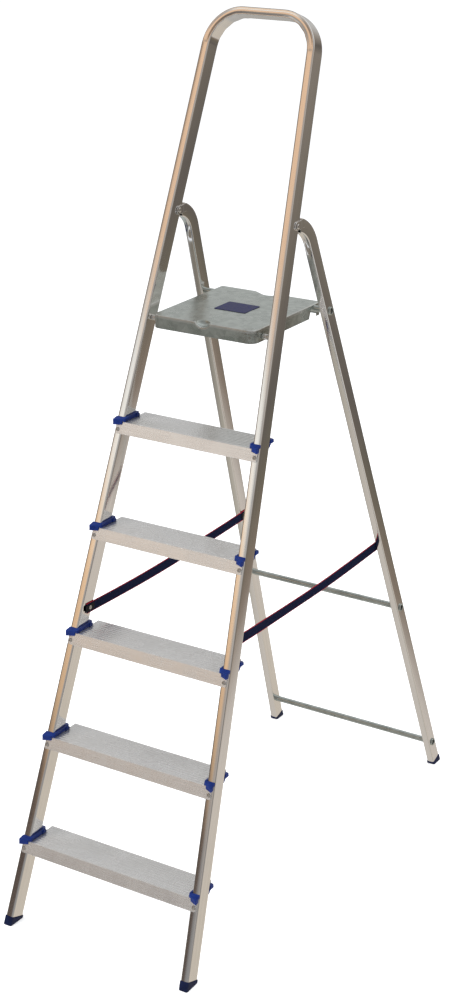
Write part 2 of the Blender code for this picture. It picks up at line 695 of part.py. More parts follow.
def add_scoop(platform):
    """The half-bowl pressed into the front edge for the fingers."""
    front = PLATFORM_FRONT_Y
    for name, grow, operation in (("scoop wall", PLATFORM_SHEET, "UNION"), ("scoop", 0, "DIFFERENCE")):
        shape = bmesh.new()
        bmesh.ops.create_uvsphere(shape, u_segments=24, v_segments=12, radius=1)
        size = (SCOOP_RADIUS + grow, SCOOP_RADIUS + grow, SCOOP_DEPTH + grow)
        place = at((0, front, PLATFORM_HEIGHT)) @ Matrix.Diagonal((*size, 1))
        bmesh.ops.transform(shape, matrix=place, verts=shape.verts)
        if grow:
            middle = PLATFORM_SHEET / 2
            trim(shape, (0, front + middle, 0), (0, 1, 0))
            trim(shape, (0, 0, PLATFORM_HEIGHT - middle), (0, 0, -1))
        cut(platform, cutter(name, finish_mesh(name, shape), Matrix()), operation)


def build_pin(label, side, frame):
    """Hinge pin from inside the stile's inner wall to inside the platform's flange."""
    name = f"platform_pin_{label}"
    wall = stile_outer_x(PIN_HEIGHT, PIN_Y - front_y(PIN_HEIGHT)) - STILE_WIDTH
    outer, inner = wall + STILE_WALL + PIN_ENTRY, PLATFORM_WIDTH / 2 - PIN_ENTRY
    shoulder, face = wall - PIN_PLAY, PLATFORM_WIDTH / 2 + 2 * FIT
    profile = [(outer, 0), (outer, PIN_RADIUS), (shoulder, PIN_RADIUS), (shoulder, PIN_SPACER_RADIUS)]
    profile += [(face, PIN_SPACER_RADIUS), (face, PIN_RADIUS), (inner, PIN_RADIUS), (inner, 0)]
    place = at((0, PIN_Y, PIN_HEIGHT)) @ Matrix.Rotation(0 if side > 0 else math.pi, 4, "Z")
    turned(name, profile, STEEL, place)
    hole(frame, name + " hole", PIN_RADIUS + HOLE_CLEARANCE, place, wall - PIN_ENTRY, wall + 2 * PIN_ENTRY)


def build_label():
    outline = rounded_rectangle(LABEL_WIDTH, LABEL_LENGTH, SHEET_CORNER, 2)
    height = PLATFORM_HEIGHT + FIT + LABEL_THICKNESS / 2
    place = at((0, PLATFORM_FRONT_Y + LABEL_FROM_FRONT + LABEL_LENGTH / 2, height))
    add_piece("label_plate", plate_mesh("label_plate", outline, LABEL_THICKNESS), LABEL_BLUE, place)


# ---- Straps ----
def strap_outline(span):
    """Outline of the sagging webbing, from one rivet at 0 to the other at the span."""
    steps = 12
    upper, lower = [], []
    for step in range(steps + 1):
        along = (span + 2 * STRAP_END) * step / steps - STRAP_END
        share = min(max(along / span, 0), 1)
        drop = 4 * STRAP_SAG * share * (1 - share)
        upper.append((along, STRAP_WIDTH / 2 - drop))
        lower.append((along, -STRAP_WIDTH / 2 - drop))
    return upper[::-1] + lower


def build_strap(label, side, frame, leg):
    """Webbing from the stile's inner face to the leg's inner face, with a tab and rivet at each end."""
    front_edge = front_y(STRAP_HEIGHT) + STILE_DEPTH / COS_TILT - STRAP_FRONT_INSET
    front_x = stile_outer_x(STRAP_HEIGHT, front_edge - front_y(STRAP_HEIGHT)) - STILE_WIDTH
    rear_edge = leg_center_y(STRAP_HEIGHT) - LEG_DEPTH / 2 / math.cos(LEG_TILT) + STRAP_REAR_INSET
    rear_x = leg_center_x(STRAP_HEIGHT) - LEG_WIDTH / 2
    span = rear_edge - front_edge
    slew = Matrix.Rotation(side * math.atan2(front_x - rear_x, span), 4, "Z")
    middle = front_x - STRAP_STAND_OFF - STRAP_THICKNESS / 2
    place = at((side * middle, front_edge, STRAP_HEIGHT)) @ slew @ PROFILE_TO_X
    strap = add_piece(
        f"strap_{label}", plate_mesh(f"strap_{label}", strap_outline(span), STRAP_THICKNESS), WEBBING, place
    )
    build_strap_end(f"front_{label}", side, (front_x, front_edge), strap, frame)
    build_strap_end(f"rear_{label}", side, (rear_x, rear_edge), strap, leg)


def build_strap_end(label, side, anchor, strap, tube):
    """The tab and rivet that hold a strap to a tube's inner face, at the anchor's X and Y."""
    x, y = anchor
    tab_back = x - STRAP_STAND_OFF - STRAP_THICKNESS - FIT
    outline = rounded_rectangle(TAB_WIDTH, TAB_LENGTH, SHEET_CORNER, 2)
    tab_name = f"strap_tab_{label}"
    tab_place = at((side * (tab_back - TAB_THICKNESS / 2), y, STRAP_HEIGHT)) @ PROFILE_TO_X
    tab = add_piece(tab_name, plate_mesh(tab_name, outline, TAB_THICKNESS), TAB_BLACK, tab_place)
    name = f"strap_rivet_{label}"
    head = tab_back - TAB_THICKNESS - FIT
    place = at((side * head, y, STRAP_HEIGHT)) @ Matrix.Rotation(math.pi if side > 0 else 0, 4, "Z")
    grip = x - head + STILE_WALL + RIVET_TAIL
    domed_rivet(name, place, grip)
    for piece in (tab, strap, tube):
        hole(piece, name + " hole", RIVET_SHANK + HOLE_CLEARANCE, place, -grip - RIVET_TAIL, RIVET_DOME)


def build():
    frame = build_front_frame()
    legs = {label: build_leg(label, side) for label, side in SIDES.items()}
    path, _ = leg_path()
    leg_turn = Matrix.Rotation(LEG_TILT, 4, "Z") @ Matrix.Rotation(math.pi / 2, 4, "Y")
    for label, side in SIDES.items():
        stile_end = stile_axes(side, STILE_END_SLOPE * COS_TILT)
        leg_end = leg_axes(side) @ at((path[0].x, path[0].y, 0)) @ leg_turn
        build_foot(f"front_foot_{label}", stile_end, STILE_WIDTH, STILE_DEPTH)
        build_foot(f"rear_foot_{label}", leg_end, LEG_WIDTH, LEG_DEPTH)
        build_pivot_rivet(label, side, frame)
        build_pin(label, side, frame)
    for index in range(TREAD_COUNT):
        tread = build_tread(index)
        for label, side in SIDES.items():
            build_cap(index, label, side)
            build_tread_rivet(index, label, side, frame, tread)
    for name, height in BAR_HEIGHTS.items():
        build_bar(name, height, legs.values())
    build_bar("platform_rod", ROD_HEIGHT, legs.values())
    build_platform()
    build_label()
    for label, side in SIDES.items():
        build_strap(label, side, frame, legs[label])


build()
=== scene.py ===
"""Looks of a folding aluminium step ladder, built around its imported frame.

Metres; X is the width, -Y the climbing side and Z up, with the origin on the floor midway between
the feet. Every shape is a surface on a grid: a section carried along a path, a profile turned
about an axis, or an outline lofted between levels, worked out as whole arrays.
"""

import json
import logging
import math
from dataclasses import dataclass, field
from enum import Enum
from typing import Callable, Iterable

import bmesh
import bpy
import numpy as np
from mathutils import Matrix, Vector


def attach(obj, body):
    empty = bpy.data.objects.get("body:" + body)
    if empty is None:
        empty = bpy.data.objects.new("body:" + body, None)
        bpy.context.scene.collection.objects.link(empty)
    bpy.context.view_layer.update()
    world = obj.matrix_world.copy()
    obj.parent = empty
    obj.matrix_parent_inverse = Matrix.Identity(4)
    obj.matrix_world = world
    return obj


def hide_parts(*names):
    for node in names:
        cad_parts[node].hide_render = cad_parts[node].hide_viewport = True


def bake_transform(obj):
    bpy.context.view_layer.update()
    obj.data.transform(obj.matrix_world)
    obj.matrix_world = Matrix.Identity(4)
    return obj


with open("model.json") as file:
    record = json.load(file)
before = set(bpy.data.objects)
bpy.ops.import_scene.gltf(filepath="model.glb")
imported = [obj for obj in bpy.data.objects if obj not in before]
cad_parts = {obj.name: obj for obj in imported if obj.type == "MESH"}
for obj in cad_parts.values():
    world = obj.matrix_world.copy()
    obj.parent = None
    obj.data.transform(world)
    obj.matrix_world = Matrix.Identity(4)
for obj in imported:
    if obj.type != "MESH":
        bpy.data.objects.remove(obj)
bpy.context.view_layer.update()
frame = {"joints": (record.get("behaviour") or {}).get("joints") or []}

LOG = logging.getLogger("step_ladder")
Array = np.ndarray
Colour = tuple[float, float, float]


class Side(Enum):
    """The two sides of the ladder, with the sign of X on each."""

    LEFT = -1
    RIGHT = 1

    @property
    def label(self) -> str:
        """The side's word in node names."""
        return self.name.lower()


class Body(Enum):
    """The rigid bodies of the frame."""

    FRONT = "front"
    REAR = "rear"
    PLATFORM = "platform"


# ---- Shared places ----
def joint_place(name: str) -> Array:
    """Centre of a joint's axis.

    Args:
        name: the joint's name in the frame.

    Returns:
        A point in metres.
    """
    return np.array(next(joint["pos_m"] for joint in frame["joints"] if joint["name"] == name))


@dataclass(frozen=True)
class Site:
    """Sizes and places that several pieces share."""

    base_depth: float = 1.221
    tilt: float = math.radians(19.8)
    spread: float = 0.500
    lean: float = 0.055
    foot_lip: float = 0.0015
    stile_width: float = 0.020
    stile_depth: float = 0.040
    leg_width: float = 0.019
    leg_depth: float = 0.033
    leg_lean: float = 0.0566
    leg_offset: float = 0.0516
    pivot: Array = field(default_factory=lambda: joint_place("rear_fold"))
    pin: Array = field(default_factory=lambda: joint_place("platform_swing"))

    @property
    def tan_tilt(self) -> float:
        """Rearward run of the stiles per metre of height."""
        return math.tan(self.tilt)

    @property
    def stile_run(self) -> float:
        """Level depth of a stile, from its front face to its rear face."""
        return self.stile_depth / math.cos(self.tilt)

    @property
    def leg_tilt(self) -> float:
        """Slope of the straight legs from the upright, in their own plane."""
        drop = self.pivot[2] * math.hypot(1, self.leg_lean)
        reach = self.base_depth / 2 - self.pivot[1]
        rear = self.leg_offset + self.leg_depth / 2 + self.foot_lip
        return math.acos(rear / math.hypot(reach, drop)) - math.atan2(drop, reach)

    @property
    def pivot_x(self) -> float:
        """Half-width between the leg pivots."""
        return self.outer_x(self.pivot[2], self.pivot[1] - self.front_y(self.pivot[2])) - self.stile_width / 2

    def front_y(self, height: float) -> float:
        """Y of the stiles' front face at a height."""
        return self.foot_lip / math.cos(self.tilt) - self.base_depth / 2 + self.tan_tilt * height

    def outer_x(self, height: float, behind: float = 0.0) -> float:
        """Half-width over the stiles at a height and a level distance behind the front face."""
        drop = behind * math.sin(self.tilt) * math.cos(self.tilt)
        return self.spread / 2 - self.lean * (height + drop)

    def leg_y(self, height: float) -> float:
        """Y of the straight legs' centre line at a height."""
        drop = (self.pivot[2] - height) * math.hypot(1, self.leg_lean)
        return self.pivot[1] + self.leg_offset / math.cos(self.leg_tilt) + drop * math.tan(self.leg_tilt)

    def leg_x(self, height: float) -> float:
        """Half-width between the legs' centre lines at a height."""
        return self.pivot_x + self.leg_lean * (self.pivot[2] - height)


SITE = Site()


@dataclass(frozen=True)
class Axes:
    """A point and three directions that a shape is laid out on."""

    origin: Array
    first: Array
    second: Array
    third: Array

    def place(self, points: Array) -> Array:
        """Carries points from these axes into the ladder's frame.

        Args:
            points: array whose last axis holds the three distances along the directions.

        Returns:
            An array of the same shape, in the ladder's frame.
        """
        return self.origin + points @ np.stack([self.first, self.second, self.third])


def unit(vector: Iterable[float]) -> Array:
    """A direction of length one."""
    array = np.array(list(vector), float)
    return array / np.linalg.norm(array)


def hoop_axes() -> Axes:
    """Axes of the front frame's plane: across, up the slope, and out of its front."""
    cos, sin = math.cos(SITE.tilt), math.sin(SITE.tilt)
    ahead = np.array([0.0, -cos, sin])
    floor = np.array([0.0, SITE.front_y(0), 0.0]) - ahead * SITE.stile_depth / 2
    return Axes(floor, np.array([1.0, 0, 0]), np.array([0.0, sin, cos]), ahead)


def leg_axes(side: Side) -> Axes:
    """Axes at a leg's pivot: rearward, up along the lean, and outward across the leg."""
    up = unit((-side.value * SITE.leg_lean, 0, 1))
    back = np.array([0.0, 1, 0])
    origin = np.array([side.value * SITE.pivot_x, SITE.pivot[1], SITE.pivot[2]])
    return Axes(origin, back, up, side.value * np.cross(back, up))


# ---- Grids into meshes ----
@dataclass
class Skin:
    """A surface on a grid of rows and columns, with texture coordinates in metres.

    Where rows or columns close on themselves, the texture coordinates have one more of them than
    the points, so the pattern meets itself without a smear.
    """

    points: Array
    uv: Array
    wrap_rows: bool = False
    wrap_columns: bool = True
    edge: Array | None = None


def smooth(low: float, high: float, value: Array) -> Array:
    """Zero below one limit and one above the other, with a smooth cubic between them."""
    share = np.clip((value - low) / (high - low), 0, 1)
    return share * share * (3 - 2 * share)


def bump(center: float, width: float, value: Array) -> Array:
    """A bell of height one about a centre: e to the minus squared distance over the width squared."""
    return np.exp(-(((value - center) / width) ** 2))


def running(points: Array, closed: bool = False) -> Array:
    """Distance along a line of points, from zero at the first.

    Args:
        points: array (count, dimensions).
        closed: whether the last point joins the first, which adds one more distance.

    Returns:
        The distances, one per point, and one more when closed.
    """
    line = np.concatenate([points, points[:1]]) if closed else points
    return np.concatenate([[0.0], np.cumsum(np.linalg.norm(np.diff(line, axis=0), axis=1))])


def grid_uv(rows: Array, columns: Array) -> Array:
    """Texture coordinates of a grid: the column's distance, then the row's."""
    across, along = np.meshgrid(columns, rows)
    return np.stack([across, along], axis=-1)


def with_poles(skin: Skin) -> Skin:
    """Closes both ends of a tube by a fan to each end ring's middle."""
    first, last = (skin.points[row].mean(axis=0) for row in (0, -1))
    ring = np.ones_like(skin.points[:1])
    points = np.concatenate([ring * first, skin.points, ring * last])
    uv = np.concatenate([skin.uv[:1], skin.uv, skin.uv[-1:]])
    edge = None if skin.edge is None else np.concatenate([skin.edge[:1], skin.edge, skin.edge[-1:]])
    return Skin(points, uv, skin.wrap_rows, skin.wrap_columns, edge)


def skin_faces(skin: Skin) -> tuple[Array, Array]:
    """Quads of a skin and their texture coordinates, turned to face outwards.

    The signed volume is the sum over triangles of a point times the cross product of the others.

    Args:
        skin: the surface; it has to be closed.

    Returns:
        Corner indices (count, 4) and texture coordinates (count, 4, 2).
    """
    rows, columns = skin.points.shape[:2]
    row, column = np.meshgrid(
        np.arange(rows if skin.wrap_rows else rows - 1),
        np.arange(columns if skin.wrap_columns else columns - 1),
        indexing="ij",
    )
    steps = ((0, 0), (1, 0), (1, 1), (0, 1))
    corners = [((row + r) % rows) * columns + (column + c) % columns for r, c in steps]
    quads = np.stack(corners, axis=-1).reshape(-1, 4)
    uv = np.stack([skin.uv[row + r, column + c] for r, c in steps], axis=2).reshape(-1, 4, 2)
    a, b, c, d = (skin.points.reshape(-1, 3)[quads[:, corner]] for corner in range(4))
    volume = np.einsum("ij,ij->", a, np.cross(b, c)) + np.einsum("ij,ij->", a, np.cross(c, d))
    return (quads[:, ::-1], uv[:, ::-1]) if volume < 0 else (quads, uv)


def mesh_of(name: str, skins: list[Skin], crease: float) -> bpy.types.Mesh:
    """One mesh from closed skins, with points that coincide made one.

    Args:
        name: the mesh's name.
        skins: the surfaces.
        crease: edges that turn by more than this many degrees stay sharp.

    Returns:
        The mesh, with a UV map named "uv" and, on points, the weight "edge": above nought it pales edges,
        partly as rubbing and partly as a painted highlight, and below nought it marks painted shade in
        hollows.
    """
    points = np.concatenate([skin.points.reshape(-1, 3) for skin in skins])
    offsets = np.cumsum([0] + [skin.points.shape[0] * skin.points.shape[1] for skin in skins])
    parts = [skin_faces(skin) for skin in skins]
    quads = np.concatenate([faces + start for (faces, _), start in zip(parts, offsets)])
    uv = np.concatenate([corner_uv for _, corner_uv in parts])
    edge = np.concatenate(
        [(np.zeros(skin.points.shape[:2]) if skin.edge is None else skin.edge).ravel() for skin in skins]
    )
    mesh = bpy.data.meshes.new(name)
    mesh.from_pydata(points, [], quads)
    layer = mesh.uv_layers.new(name="uv")
    layer.data.foreach_set("uv", uv.astype(np.float32).ravel())
    # The weight pales edges, partly rubbing and partly a painted highlight; below nought it marks painted
    # shade.
    wear = mesh.attributes.new("edge", "FLOAT", "POINT")
    wear.data.foreach_set("value", edge.astype(np.float32))
    shape = bmesh.new()
    shape.from_mesh(mesh)
    bmesh.ops.remove_doubles(shape, verts=shape.verts, dist=0.000001)
    bmesh.ops.dissolve_degenerate(shape, edges=shape.edges, dist=0.0000001)
    shape.to_mesh(mesh)
    shape.free()
    mesh.shade_smooth()
    mesh.set_sharp_from_angle(angle=math.radians(crease))
    return mesh


@dataclass(frozen=True)
class Piece:
    """A finished piece: its name, body, finish slot and the nodes that it stands for."""

    name: str
    body: Body
    slot: str
    replaces: tuple[str, ...] = ()

    def build(self, skins: list[Skin], finish: bpy.types.Material, crease: float = 40) -> bpy.types.Object:
        """Puts the piece in the scene.

        Args:
            skins: its closed surfaces, in the ladder's frame.
            finish: its material.
            crease: edges sharper than this many degrees stay sharp.

        Returns:
            The object, at the origin, riding on its body.
        """
        made = bpy.data.objects.new(self.name, mesh_of(self.name, skins, crease))
        made.data.materials.append(finish)
        bpy.context.scene.collection.objects.link(made)
        even = made.modifiers.new("flat faces", "WEIGHTED_NORMAL")
        even.keep_sharp = True
        if self.replaces:
            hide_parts(*self.replaces)
        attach(made, self.body.value)
        LOG.info("%s: %d faces, rides on %s", self.name, len(made.data.polygons), self.body.value)
        return made


# ---- Sections, paths and turned shapes ----
def rounded_section(width: float, depth: float, corner: float, arc: int = 5, flat: int = 8) -> Array:
    """A closed rectangle with round corners, anticlockwise, centred on the origin.

    Args:
        width: its size along the first axis.
        depth: its size along the second axis.
        corner: the corners' radius.
        arc: steps around each corner.
        flat: steps along each side.

    Returns:
        Points (4 * (arc + flat), 2).
    """
    half = np.array([width / 2 - corner, depth / 2 - corner])
    signs = np.array([[1, 1], [-1, 1], [-1, -1], [1, -1]])
    turns = np.radians(90) * (np.arange(4)[:, None] + np.linspace(0, 1, arc + 1))
    arcs = (signs * half)[:, None] + corner * np.stack([np.cos(turns), np.sin(turns)], axis=-1)
    ends, starts = arcs[:, -1:], np.roll(arcs[:, :1], -1, axis=0)
    share = np.linspace(0, 1, flat + 1)[1:-1, None]
    sides = ends + (starts - ends) * share
    return np.concatenate([arcs, sides], axis=1).reshape(-1, 2)


def crowned(section: Array, size: tuple[float, float], fall: float) -> Array:
    """Lets flat faces fall away towards their edges by the square of the place across them."""
    across, deep = section[:, 0] / (size[0] / 2), section[:, 1] / (size[1] / 2)
    first = section[:, 0] - fall * np.sign(across) * deep**2 * smooth(0.5, 1.0, np.abs(across))
    second = section[:, 1] - fall * np.sign(deep) * across**2 * smooth(0.5, 1.0, np.abs(deep))
    return np.stack([first, second], axis=-1)


def corner_weight(section: Array, size: tuple[float, float]) -> Array:
    """One on a section's round corners and nought along its sides."""
    reach = np.abs(section) / (np.array(size) / 2)
    return smooth(0.78, 0.97, reach.min(axis=-1))


@dataclass(frozen=True)
class Path:
    """A line in a plane: its points and, at each, the direction to the left of travel."""

    points: Array
    left: Array

    def joined(self, other: "Path") -> "Path":
        """This path and another that starts where it ends."""
        return Path(
            np.concatenate([self.points, other.points[1:]]), np.concatenate([self.left, other.left[1:]])
        )


def straight(start: Array, end: Array, steps: int) -> Path:
    """A straight path between two points in equal steps."""
    share = np.linspace(0, 1, steps + 1)[:, None]
    along = unit(end - start)
    left = np.array([-along[1], along[0]]) * np.ones_like(share)
    return Path(start + (end - start) * share, left)


def bend(center: Array, radius: float, start: float, end: float, steps: int) -> Path:
    """An arc from one angle to another, with the left of travel along or against the radius."""
    turns = np.linspace(start, end, steps + 1)
    outward = np.stack([np.cos(turns), np.sin(turns)], axis=-1)
    return Path(center + radius * outward, -np.sign(end - start) * outward)


def carried(axes: Axes, path: Path, sections: Array) -> Array:
    """A section carried along a path in the plane of the first two axes.

    Point = path + (section's first value) * left + (section's second value) * third axis.

    Args:
        axes: the plane.
        path: the line, with a row for each section.
        sections: array (rows, columns, 2).

    Returns:
        Points (rows, columns, 3) in the ladder's frame.
    """
    flat = path.points[:, None] + sections[..., :1] * path.left[:, None]
    return axes.place(np.concatenate([flat, sections[..., 1:]], axis=-1))


def walled(outer: Array, inner: Array, section: Array) -> Skin:
    """A tube with a wall: the outer skin one way, and the inner skin back again.

    Args:
        outer: points (rows, columns, 3).
        inner: points of the same shape, inside.
        section: the outer section, for its perimeter.

    Returns:
        A closed skin that wraps both ways.
    """
    rows = running(outer[:, 0])
    around = running(section, closed=True)
    uv = np.concatenate([grid_uv(rows, around), grid_uv(rows[::-1], around), grid_uv(rows[:1], around)])
    return Skin(np.concatenate([outer, inner[::-1]]), uv, wrap_rows=True)


def turned_skin(profile: Array, origin: Array, axis: Array, segments: int = 40) -> Skin:
    """A profile turned about an axis.

    Point = origin + along * axis + radius * (cos(turn) * across + sin(turn) * upward).

    Args:
        profile: (along, radius) points; a profile that starts or ends off the axis closes on itself.
        origin: a point on the axis.
        axis: the axis' direction.
        segments: steps around it.

    Returns:
        A closed skin.
    """
    axis = unit(axis)
    across = unit(np.cross(axis, [0.13, 0.0, 1.0]))
    upward = np.cross(axis, across)
    turns = np.linspace(0, 2 * math.pi, segments + 1)[:-1]
    spokes = np.cos(turns)[:, None] * across + np.sin(turns)[:, None] * upward
    points = origin + profile[:, None, :1] * axis + profile[:, None, 1:] * spokes
    ring = profile[0, 1] > 0
    rows = running(profile, closed=ring)
    around = np.linspace(0, 2 * math.pi * profile[:, 1].max(), segments + 1)
    return Skin(points, grid_uv(rows, around), wrap_rows=ring)


def dome(radius: float, height: float, steps: int = 8) -> Array:
    """(along, radius) points of a domed head, from its crown to its rim: a quarter ellipse."""
    turns = np.linspace(0, math.pi / 2, steps + 1)
    return np.stack([height * np.cos(turns), radius * np.sin(turns)], axis=-1)


def block(
    place: Callable[[Array], Array], stations: Array, spans: Array, corner: float, sides: int = 1
) -> Skin:
    """A bar of rounded-rectangle sections, with the edges of its two end faces rounded too.

    Section point = middle + sign * (half size - corner) + corner * (cos turn, sin turn); near each
    end the half sizes shrink by corner * (1 - sin turn), corner * (1 - cos turn) from the end.

    Args:
        place: carries (first, second, station) points into the ladder's frame.
        stations: the sections' distances along the bar.
        spans: (count, 4) with the low and high of each section's first and second distance.
        corner: the edges' radius.
        sides: steps along each side of the section.

    Returns:
        A closed skin.
    """
    turns = np.linspace(0, math.pi / 2, 5)
    into, inset = corner * (1 - np.cos(turns)), corner * (1 - np.sin(turns))
    middle = stations[(stations > stations[0] + corner) & (stations < stations[-1] - corner)]
    along = np.concatenate([stations[0] + into, middle, (stations[-1] - into)[::-1]])
    shrink = np.concatenate([inset, np.zeros_like(middle), inset[::-1]])
    low_a, high_a, low_b, high_b = (np.interp(along, stations, spans[:, column]) for column in range(4))
    half = np.stack([high_a - low_a, high_b - low_b], axis=-1) / 2 - shrink[:, None]
    center = np.stack([high_a + low_a, high_b + low_b], axis=-1) / 2
    radius = np.minimum(corner, half.min(axis=1) * 0.98)[:, None, None]
    circle = rounded_section(2, 2, 1, 4, sides)
    signs = rounded_section(4, 4, 1, 4, sides) - circle
    flat = center[:, None] + signs * (half[:, None] - radius) + radius * circle
    points = place(
        np.concatenate([flat, np.broadcast_to(along[:, None, None], (*flat.shape[:2], 1))], axis=-1)
    )
    around = running(flat[len(flat) // 2], closed=True)
    edge = np.broadcast_to(smooth(0.2, 0.6, np.abs(circle).min(axis=-1)), flat.shape[:2])
    return with_poles(Skin(points, grid_uv(along, around), edge=edge))


def pinched(points: Array, uv: Array) -> Skin:
    """Closes a thin bar whose columns run out along one face and back along the other.

    Each end gets a row in which the two faces meet at the middle of the wall.

    Args:
        points: (rows, 2 * count, 3); column k and its mirror column face each other.
        uv: (rows, 2 * count + 1, 2).

    Returns:
        A closed skin.
    """
    ends = (points + points[:, ::-1]) / 2
    rows = np.concatenate([ends[:1], points, ends[-1:]])
    return Skin(rows, np.concatenate([uv[:1], uv, uv[-1:]]))


def even_steps(start: float, end: float, step: float) -> Array:
    """Places from one end to the other in equal steps of about the given size."""
    return np.linspace(start, end, max(2, round(abs(end - start) / step)) + 1)


# ---- Front frame ----
@dataclass
class FrontFrame:
    """Two leaning stiles and the top bar, bent from one rectangular tube."""

    wall: float = 0.0015
    corner: float = 0.0030
    slope_length: float = 2.129
    radius: float = 0.083
    step: float = 0.012
    crush: float = 0.0010
    crown: float = 0.00036
    hollow: float = 0.0017
    wrinkle: float = 0.00055
    wrinkles: int = 9

    def side_line(self, slope: float) -> Array:
        """The right stile's centre line in the frame's plane."""
        cos = math.cos(SITE.tilt)
        return np.array([SITE.spread / 2 - SITE.stile_width / 2 - SITE.lean * cos * slope, slope])

    def path(self) -> tuple[Path, Array]:
        """Right stile, bend, top bar, bend and left stile.

        Returns:
            The path, and for each of its points how far it is into the bent top, from 0 to 0.5,
            which the bar keeps, or -1 on a straight stile.
        """
        cos = math.cos(SITE.tilt)
        lean = math.atan(SITE.lean * cos)
        top = self.slope_length - SITE.stile_width / 2
        end = (0.007 + SITE.stile_depth * math.sin(SITE.tilt)) / cos
        start, bend_start = self.side_line(end), self.side_line(top - self.radius)
        center = bend_start - np.array([self.radius / math.cos(lean), 0])
        count = round((bend_start[1] - end) / self.step)
        bend_steps = 30
        right = straight(start, center + self.radius * np.array([math.cos(lean), math.sin(lean)]), count)
        right = right.joined(bend(center, self.radius, lean, math.pi / 2, bend_steps))
        bar = straight(center + np.array([0, self.radius]), np.array([-center[0], top]), 18)
        left_points = (right.points * [-1, 1])[::-1]
        left = Path(left_points, (right.left * [-1, 1])[::-1])
        whole = right.joined(bar).joined(left)
        share = np.full(len(whole.points), -1.0)
        share[count:-count] = 0.5
        into = np.linspace(0, 0.5, bend_steps + 1)
        share[count : count + bend_steps + 1] = into
        share[-(count + bend_steps + 1) : -count] = into[::-1]
        return whole, share

    def sections(self, share: Array, wall: float) -> Array:
        """The tube's section at each row, crushed on the outside of the bends.

        In a bend the outer face sinks, the wide faces hollow by a cosine across them, and the
        inner face gathers in a few low waves.

        Args:
            share: how far each row is into the bent top, or -1.
            wall: inset of the section from the outer skin.

        Returns:
            Points (rows, columns, 2).
        """
        size = (SITE.stile_width - 2 * wall, SITE.stile_depth - 2 * wall)
        flat = crowned(rounded_section(*size, max(self.corner - wall, 0.0008), 5, 12), size, self.crown)
        across, deep = flat[:, 0] / (size[0] / 2), flat[:, 1] / (size[1] / 2)
        bent = np.where(share < 0, 0, np.sin(math.pi * np.clip(share, 0, 1)) ** 0.5)[:, None]
        sink = self.crush * np.clip(-across, 0, 1) * (1 - 0.35 * deep**2)
        waves = np.sin(2 * math.pi * self.wrinkles * share)[:, None] * np.clip(across, 0, 1)
        first = flat[:, 0] + bent * (sink + self.wrinkle * waves)
        second = flat[:, 1] - bent * self.hollow * np.sign(deep) * np.clip(np.abs(deep), 0, 1) ** 6 * (
            np.cos(math.pi / 2 * np.clip(across, -1, 1))
        )
        return np.stack([first, second], axis=-1)

    def build(self, finish: bpy.types.Material) -> None:
        """Builds the tube."""
        axes = hoop_axes()
        path, share = self.path()
        outer = carried(axes, path, self.sections(share, 0))
        inner = carried(axes, path, self.sections(share, self.wall))
        section = rounded_section(SITE.stile_width, SITE.stile_depth, self.corner, 5, 12)
        skin = walled(outer, inner, section)
        weight = corner_weight(section, (SITE.stile_width, SITE.stile_depth))
        skin.edge = np.broadcast_to(weight, skin.points.shape[:2])
        Piece("hoop_tube", Body.FRONT, "mill_aluminium", ("front_frame",)).build([skin], finish)


